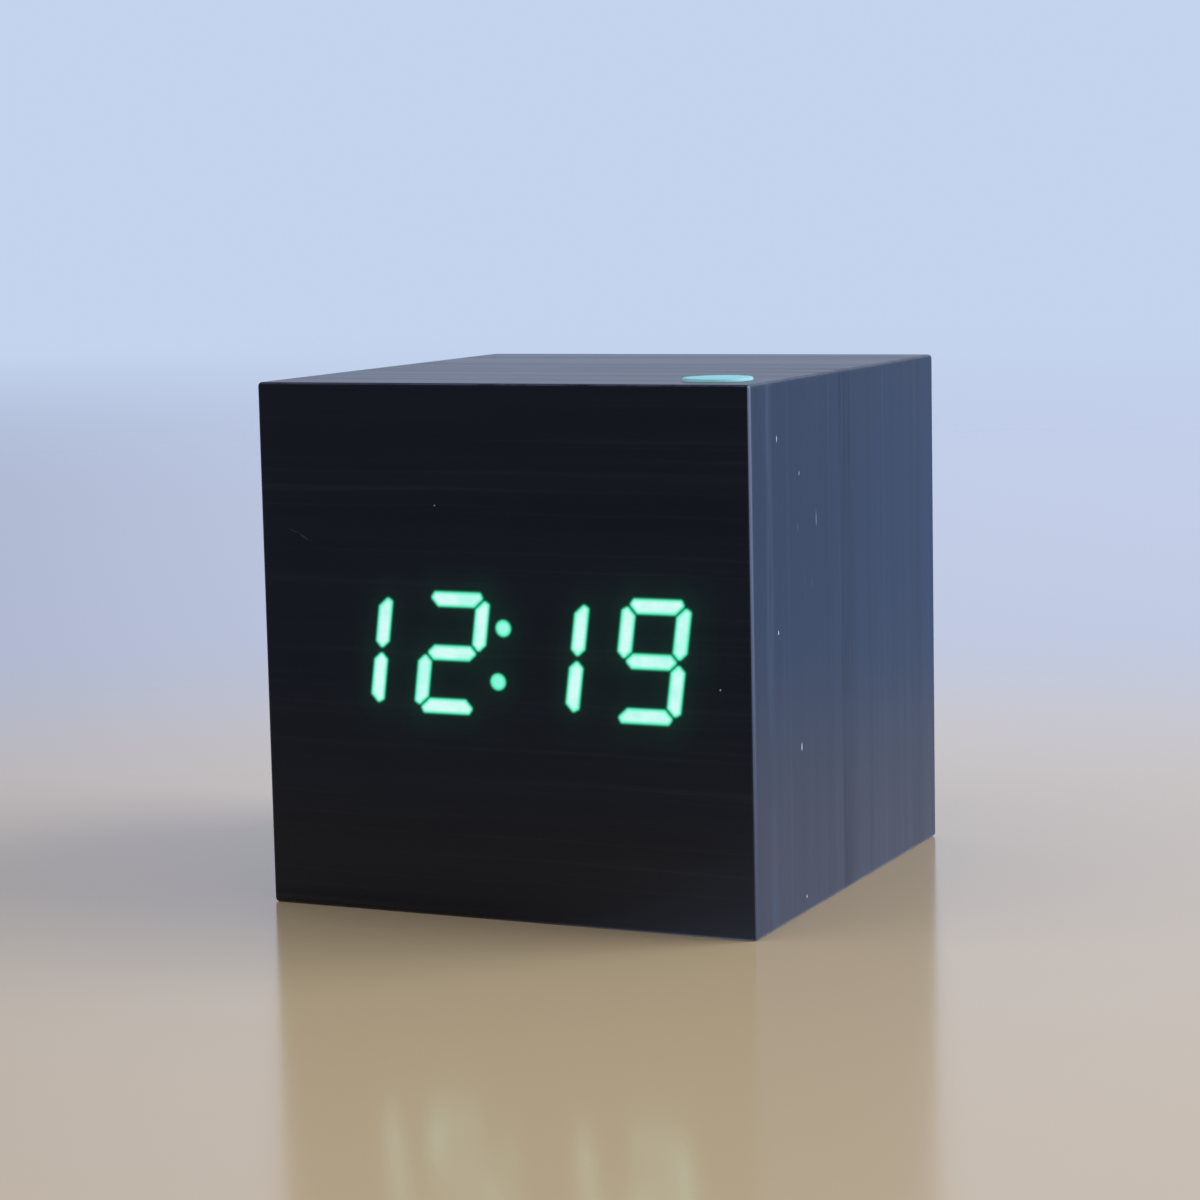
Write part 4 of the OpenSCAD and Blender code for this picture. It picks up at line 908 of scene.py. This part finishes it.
def side_profile():
    """Outer line of the folded sheet from low left over the top to low right, in X and Z."""
    left, right = -inner_half, inner_half
    middles = [(left, edge_round), (left, inner_top), (right, inner_top), (right, edge_round)]
    line = []
    for middle, start in zip(middles, (270, 180, 90, 0)):
        line += arc(middle, edge_round, start, start - 90, EDGE_STEPS)
    return line


def side_sheet():
    """One folded sheet with rounded edges, a small slope at its rear and a map of its unfolded face."""
    outer = side_profile()
    ring = outer + [(inner_half, inner_top), (-inner_half, inner_top)]
    count = len(ring)
    run = [0.0]
    for a, b in zip(outer, outer[1:]):
        run.append(run[-1] + math.hypot(b[0] - a[0], b[1] - a[1]))
    run += [run[-1] * share for share in INNER_RUN]
    rows = [(side_lo.y + (side_hi.y - side_lo.y) * k / SIDE_ROWS, 1.0) for k in range(SIDE_ROWS)]
    rows += [(side_hi.y - REAR_EDGE, 1.0), (side_hi.y, 1.0 - REAR_EDGE / cube_half)]
    points = []
    for y, size in rows:
        for k, (x, z) in enumerate(ring):
            s = size if k < len(outer) else 1.0
            points.append((x * s, y, cube_half + (z - cube_half) * s))
    faces = []
    for row in range(len(rows) - 1):
        for k in range(count):
            a = row * count + k
            b = row * count + (k + 1) % count
            faces.append((b, b + count, a + count, a))
    faces.append(tuple(reversed(range(count))))
    faces.append(tuple(range((len(rows) - 1) * count, len(rows) * count)))
    piece = new_piece("side_sheet", points, faces, "casing", side_veneer_finish(), "side_veneer")
    mesh = piece.data
    layer = mesh.uv_layers.new(name="unfolded")
    for face in mesh.polygons:
        for k in face.loop_indices:
            v = mesh.loops[k].vertex_index
            u = run[v % count]
            layer.data[k].uv = (u / MM / UNFOLDED_MM, (points[v][1] - side_lo.y) / MM / UNFOLDED_MM)


def top_dot():
    """Low round pad with a rounded rim and a slight crown."""
    radius = (dot_hi.x - dot_lo.x) / 2
    thick = dot_hi.z - dot_lo.z
    rim = thick / 2
    crown = thick * DOT_CROWN
    profile = [(0, 0), (radius, 0), (radius, thick - rim - crown)]
    profile += arc((radius - rim, thick - rim - crown), rim, start=15, end=75, steps=5)
    profile += bowed(radius - rim, thick - crown, crown, CROWN_ANGLES)
    profile.append((0, thick))
    middle = (dot_lo + dot_hi) / 2
    points, faces = turned(profile, Matrix.Translation((middle.x, middle.y, dot_lo.z)))
    new_piece("round_dot", points, faces, "casing", teal_dot_finish(), "top_dot")


# Back and underside

def button_cap(body, finish):
    """Cap with a rounded rim and a shallow dish, a flange behind the cover and a stem."""
    lo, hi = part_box(body)
    plunger_lo, plunger_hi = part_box(body.replace("button", "plunger"))
    axis = Vector(((lo.x + hi.x) / 2, lo.y, (lo.z + hi.z) / 2))
    height = hi.y - lo.y
    flange = (hi.x - lo.x) / 2
    cap = flange - FLANGE_OUT
    stem = (plunger_hi.x - plunger_lo.x) / 2
    profile = [(0, 0), (stem, 0), (stem, FLANGE_LOW), (flange - FLANGE_EDGE, FLANGE_LOW)]
    profile += [(flange, FLANGE_LOW + FLANGE_EDGE), (flange, FLANGE_HIGH - FLANGE_EDGE)]
    profile += [(flange - FLANGE_EDGE, FLANGE_HIGH), (cap, FLANGE_HIGH)]
    profile += arc((cap - BUTTON_EDGE, height - BUTTON_EDGE), BUTTON_EDGE, start=0, end=90, steps=6)
    profile += bowed(cap - BUTTON_RIM, height, -BUTTON_DISH, DISH_ANGLES)
    profile.append((0, height - BUTTON_DISH))
    facing_rear = Matrix.Translation(axis) @ Matrix.Rotation(math.radians(-90), 4, "X")
    points, faces = turned(profile, facing_rear)
    new_piece(body + "_cap", points, faces, body, finish, body)


def screw_tree(finish):
    """Sunk screws with a cross recess, one at every point of the given mesh."""
    tree, given, result = new_group(
        "sunk_screws",
        [("Geometry", "Geometry"), ("Head radius", "Float"), ("Shank radius", "Float"),
         ("Rim height", "Float"), ("Length", "Float"), ("Turn", "Vector"), ("Seed", "Int")],
        [("Geometry", "Geometry")],
        "GeometryNodeTree",
    )
    head, shank, rim, length = (given[k] for k in ("Head radius", "Shank radius", "Rim height", "Length"))

    def cone(bottom, top, depth, lift):
        made = node(tree, "GeometryNodeMeshCone", {
            "Vertices": SCREW_SIDES, "Radius Bottom": bottom, "Radius Top": top, "Depth": depth})
        return node(tree, "GeometryNodeTransform", {
            "Geometry": made.outputs["Mesh"], "Translation": combined(tree, Z=lift)}).outputs[0]

    def cut_or_joined(operation, links):
        made = node(tree, "GeometryNodeMeshBoolean", operation=operation, solver="EXACT")
        for label, mesh in links:
            tree.links.new(mesh, made.inputs[label])
        return made.outputs["Mesh"]

    soft = times(tree, rim, SCREW_LIP)
    lip = cone(minus(tree, head, soft), head, soft, 0.0)
    wall = cone(head, head, minus(tree, rim, soft), soft)
    neck = cone(head, shank, shank, rim)
    stem = cone(shank, times(tree, shank, SCREW_TAPER), minus(tree, length, rim), rim)
    whole = lip
    for part in (wall, neck, stem):
        whole = cut_or_joined("UNION", [("Mesh 2", part), ("Mesh 2", whole)])
    for wide, tall in ((CROSS_LONG, CROSS_WIDE), (CROSS_WIDE, CROSS_LONG)):
        size = combined(
            tree, X=times(tree, shank, wide), Y=times(tree, shank, tall), Z=times(tree, shank, CROSS_DEEP))
        bar = node(tree, "GeometryNodeMeshCube", {"Size": size}).outputs["Mesh"]
        whole = cut_or_joined("DIFFERENCE", [("Mesh 1", whole), ("Mesh 2", bar)])
    facing = node(tree, "FunctionNodeEulerToRotation", {"Euler": given["Turn"]}).outputs[0]
    rows = node(tree, "GeometryNodeInstanceOnPoints", {
        "Points": given["Geometry"], "Instance": whole, "Rotation": facing}).outputs[0]
    chance = node(tree, "FunctionNodeRandomValue", {"Seed": given["Seed"]}, data_type="FLOAT").outputs[1]
    quarter = combined(tree, Z=times(tree, chance, math.pi / 2))
    spin = node(tree, "FunctionNodeEulerToRotation", {"Euler": quarter}).outputs[0]
    rows = node(tree, "GeometryNodeRotateInstances", {"Instances": rows, "Rotation": spin}).outputs[0]
    real = node(tree, "GeometryNodeRealizeInstances", {"Geometry": rows}).outputs[0]
    dressed = node(tree, "GeometryNodeSetMaterial", {"Geometry": real, "Material": finish}).outputs[0]
    fill(tree, result, Geometry=dressed)
    return tree


def screws(node_name, tree, finish, seed):
    """All screws of one CAD node, placed on its own solids with their heads outwards."""
    along, turn = SCREW_SETS[node_name]
    boxes = [(points.min(axis=0), points.max(axis=0)) for points in solids_of(node_name)]
    middles = []
    for lo, hi in boxes:
        middle = (lo + hi) / 2
        middle[along] = hi[along] if node_name == "cover_screws" else lo[along]
        middles.append(tuple(middle))
    lo, hi = boxes[-1]
    head = (hi[0] - lo[0]) / 2
    mesh = bpy.data.meshes.new(node_name + "_places")
    mesh.from_pydata(middles, [], [])
    holder = linked(node_name + "_places", mesh)
    modifier = holder.modifiers.new("sunk_screws", "NODES")
    modifier.node_group = tree
    values = {"Head radius": head, "Shank radius": head / 2, "Rim height": SCREW_RIM,
              "Length": hi[along] - lo[along], "Turn": turn, "Seed": seed}
    for item in tree.interface.items_tree:
        if item.in_out == "INPUT" and item.name in values:
            modifier[item.identifier] = values[item.name]
    scene.view_layers[0].update()
    ready = holder.evaluated_get(bpy.context.evaluated_depsgraph_get())
    made = bpy.data.meshes.new_from_object(ready)
    holder.modifiers.clear()
    bpy.data.objects.remove(holder)
    dress(node_name[:-1] + "_heads", made, "casing", finish, node_name)


def back_and_base():
    black = moulded_plastic_finish("black_moulding", (0.013, 0.013, 0.015), 0.5)
    softened("rear_cover", "back_plate", "casing", black)
    softened("base_tray", "bottom_tray", "casing", black, TRAY_EDGE)
    softened("battery_door", "cell_door", "battery_door", black, SMALL_EDGE)
    socket = moulded_plastic_finish(
        "socket_plastic", (0.008, 0.008, 0.009), 0.38, spark_mm=0.6, relief=0.006)
    softened("power_socket", "plug_socket", "casing", socket, SMALL_EDGE)
    caps = moulded_plastic_finish(
        "button_plastic", (0.022, 0.022, 0.025), 0.42, spark_mm=0.5, relief=0.006)
    for body in ("set_button", "up_button", "down_button"):
        button_cap(body, caps)
    steel = made_surface("blackened_screw", (0.20, 0.20, 0.22), roughness=0.36, metallic=1.0, clouds=0.8,
                         speckles=8.0, spread=0.3, relief=0.004)
    tree = screw_tree(steel)
    screws("cover_screws", tree, steel, seed=3)
    screws("base_screws", tree, steel, seed=8)


def finish_nodes():
    """Finishes of the CAD pieces that stay as they are."""
    green = circuit_finish("green_circuit", laminate=(0.035, 0.13, 0.06), lacquer=(0.012, 0.065, 0.03))
    white = circuit_finish("white_circuit", laminate=(0.55, 0.55, 0.52), lacquer=(0.68, 0.68, 0.65))
    finishes = [
        (fibreboard_finish(), ["front_panel", "top_panel", "left_panel", "right_panel"]),
        (raw_wood_finish(), ["glue_blocks", "board_pillars"]),
        (lit_filling_finish(), LIT_NODES),
        (green, ["main_board", "switch_board"]),
        (white, ["display_board"]),
        (cell_wrap_finish(), ["left_cell", "middle_cell", "right_cell"]),
    ]
    for name, (*values, pieces) in INSIDE_SURFACES.items():
        finishes.append((made_surface(name, *values), pieces))
    for finish, pieces in finishes:
        for piece in pieces:
            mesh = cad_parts[piece].data
            mesh.materials.clear()
            mesh.materials.append(finish)


# Floor, light and camera

ROOM_BACK = (0.66, 0.77, 1.04, 1.0)
ROOM_WINDOW = (0.38, 0.60, 1.16, 1.0)
ROOM_DIM = (0.16, 0.20, 0.33, 1.0)
ROOM_SEEN = (0.55, 0.655, 0.86, 1.0)
ROOM_SOFT = (0.50, 0.52, 0.56, 1.0)
# The way to the bright side in X and Y, and where its light and colour start and are full in reflections
WINDOW_X = 0.75
WINDOW_Y = 0.66
WINDOW_LIGHT = (-0.3, 0.35)
WINDOW_COLOUR = (-0.1, 0.45)
LAMP_AIM = Vector((0, 0, 0.03))

FLOOR_NEAR = (0.54, 0.42, 0.27, 1.0)
FLOOR_FAR = (0.41, 0.42, 0.49, 1.0)
FLOOR_BESIDE = (0.64, 0.73, 1.05, 1.0)
FLOOR_ROUGH = 0.15
FLOOR_HALF = 6.0
FLOOR_OPENING_IN = 0.7 * MM
# In metres: the warm patch before the clock, the fading into the backdrop, and the parts before and beside
# the clock that its faces mirror
WARM_MIDDLE = (0.05, -0.11, 0.0)
WARM_REACH = (0.17, 0.36)
FADE_REACH = (0.5, 1.6)
MIRRORED_BEFORE = (-0.05, -0.11)
MIRRORED_BESIDE = (-0.02, 0.03)
MIRRORED_COLOUR = (0.06, 0.18)
BESIDE_LEAN = 0.4


def floor_finish():
    """Warm and glossy near the clock, fading into the backdrop, and clear when seen from below."""
    material, tree, shader = new_material("pale_floor")
    place = node(tree, "ShaderNodeTexCoord").outputs["Object"]
    parts = split(tree, place)
    apart = vector_maths(tree, "DISTANCE", place, WARM_MIDDLE)["Value"]
    colour = mixed(tree, spanned(tree, apart, *WARM_REACH), FLOOR_NEAR, FLOOR_FAR)
    fill(tree, shader, Base_Color=colour, Roughness=FLOOR_ROUGH)
    away = vector_maths(tree, "LENGTH", place)["Value"]
    window_side = plus(tree, parts["X"], times(tree, parts["Y"], BESIDE_LEAN))
    glow = mixed(tree, spanned(tree, window_side, *MIRRORED_COLOUR), FLOOR_BESIDE, ROOM_WINDOW)
    mirrored = node(tree, "ShaderNodeLightPath").outputs["Is Glossy Ray"]
    before = times(tree, mirrored, spanned(tree, parts["Y"], *MIRRORED_BEFORE))
    beside = times(tree, mirrored, spanned(tree, window_side, *MIRRORED_BESIDE))
    fading = spanned(tree, away, *FADE_REACH)
    shown = shader.outputs[0]
    for amount, light in ((fading, ROOM_SEEN), (before, ROOM_DIM), (beside, glow)):
        shining = node(tree, "ShaderNodeEmission", {"Color": light, "Strength": 1.0}).outputs[0]
        shown = node(tree, "ShaderNodeMixShader", {0: amount, 1: shown, 2: shining}).outputs[0]
    under = node(tree, "ShaderNodeNewGeometry").outputs["Backfacing"]
    clear = node(tree, "ShaderNodeBsdfTransparent").outputs[0]
    shown = node(tree, "ShaderNodeMixShader", {0: under, 1: shown, 2: clear}).outputs[0]
    fill(tree, tree.nodes["Material Output"], Surface=shown)
    return material


def floor():
    """Pale floor, open where the clock stands, so that its underside is lit when seen from below."""
    mesh = bpy.data.meshes.new("pale_floor")
    left, front = cad_box[0][0] + FLOOR_OPENING_IN, cad_box[0][1] + FLOOR_OPENING_IN
    right, rear = cad_box[1][0] - FLOOR_OPENING_IN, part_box("base_tray")[1][1]
    outer = [(x * FLOOR_HALF, y * FLOOR_HALF, 0) for x, y in ((-1, -1), (1, -1), (1, 1), (-1, 1))]
    opening = [(left, front, 0), (right, front, 0), (right, rear, 0), (left, rear, 0)]
    mesh.from_pydata(outer + opening, [], [(k, (k + 1) % 4, 4 + (k + 1) % 4, 4 + k) for k in range(4)])
    mesh.materials.append(floor_finish())
    plane = linked("pale_floor", mesh)


def room():
    """Soft light all round, pale to the eye, and brighter on one side in reflections."""
    world = bpy.data.worlds.new("soft_room")
    scene.world = world
    world.use_nodes = True
    tree = world.node_tree
    tree.nodes.clear()
    parts = split(tree, node(tree, "ShaderNodeTexCoord").outputs["Generated"])
    window_side = plus(tree, times(tree, parts["X"], WINDOW_X), times(tree, parts["Y"], WINDOW_Y))
    bright = mixed(tree, spanned(tree, parts["X"], *WINDOW_COLOUR), ROOM_BACK, ROOM_WINDOW)
    mirrored = mixed(tree, spanned(tree, window_side, *WINDOW_LIGHT), ROOM_DIM, bright)
    seen = node(tree, "ShaderNodeLightPath").outputs
    colour = mixed(tree, seen["Is Glossy Ray"], ROOM_SOFT, mirrored)
    colour = mixed(tree, seen["Is Camera Ray"], colour, ROOM_SEEN)
    background = node(tree, "ShaderNodeBackground", {"Color": colour, "Strength": 1.0}).outputs[0]
    node(tree, "ShaderNodeOutputWorld", {"Surface": background})


def lamp(name, place, size, power, colour, mirrored):
    light = bpy.data.lights.new(name, "AREA")
    light.size = size
    light.energy = power
    light.color = colour
    holder = linked(name, light)
    holder.location = place
    holder.rotation_euler = (LAMP_AIM - Vector(place)).to_track_quat("-Z", "Y").to_euler()
    holder.visible_glossy = mirrored


def camera():
    data = bpy.data.cameras.new("photo_camera")
    data.lens = CAMERA_LENS
    data.sensor_width = CAMERA_SENSOR
    data.clip_start = CAMERA_NEAREST
    turn = Matrix.Rotation(CAMERA_AZIMUTH, 4, "Z")
    turn @= Matrix.Rotation(math.radians(90) - CAMERA_ELEVATION, 4, "X")
    turn @= Matrix.Rotation(CAMERA_ROLL, 4, "Z")
    scene.camera = linked("photo_camera", data)
    scene.camera.matrix_world = Matrix.Translation(CAMERA_PLACE) @ turn


camera()
room()
floor()
lamp("window_light", (1.15, 0.5, 0.95), size=1.0, power=20.0, colour=(0.95, 0.98, 1.0), mirrored=True)
lamp("room_fill", (-0.7, -0.8, 1.1), size=1.2, power=4.0, colour=(1.0, 0.97, 0.93), mirrored=False)
front_sheet()
side_sheet()
top_dot()
back_and_base()
finish_nodes()
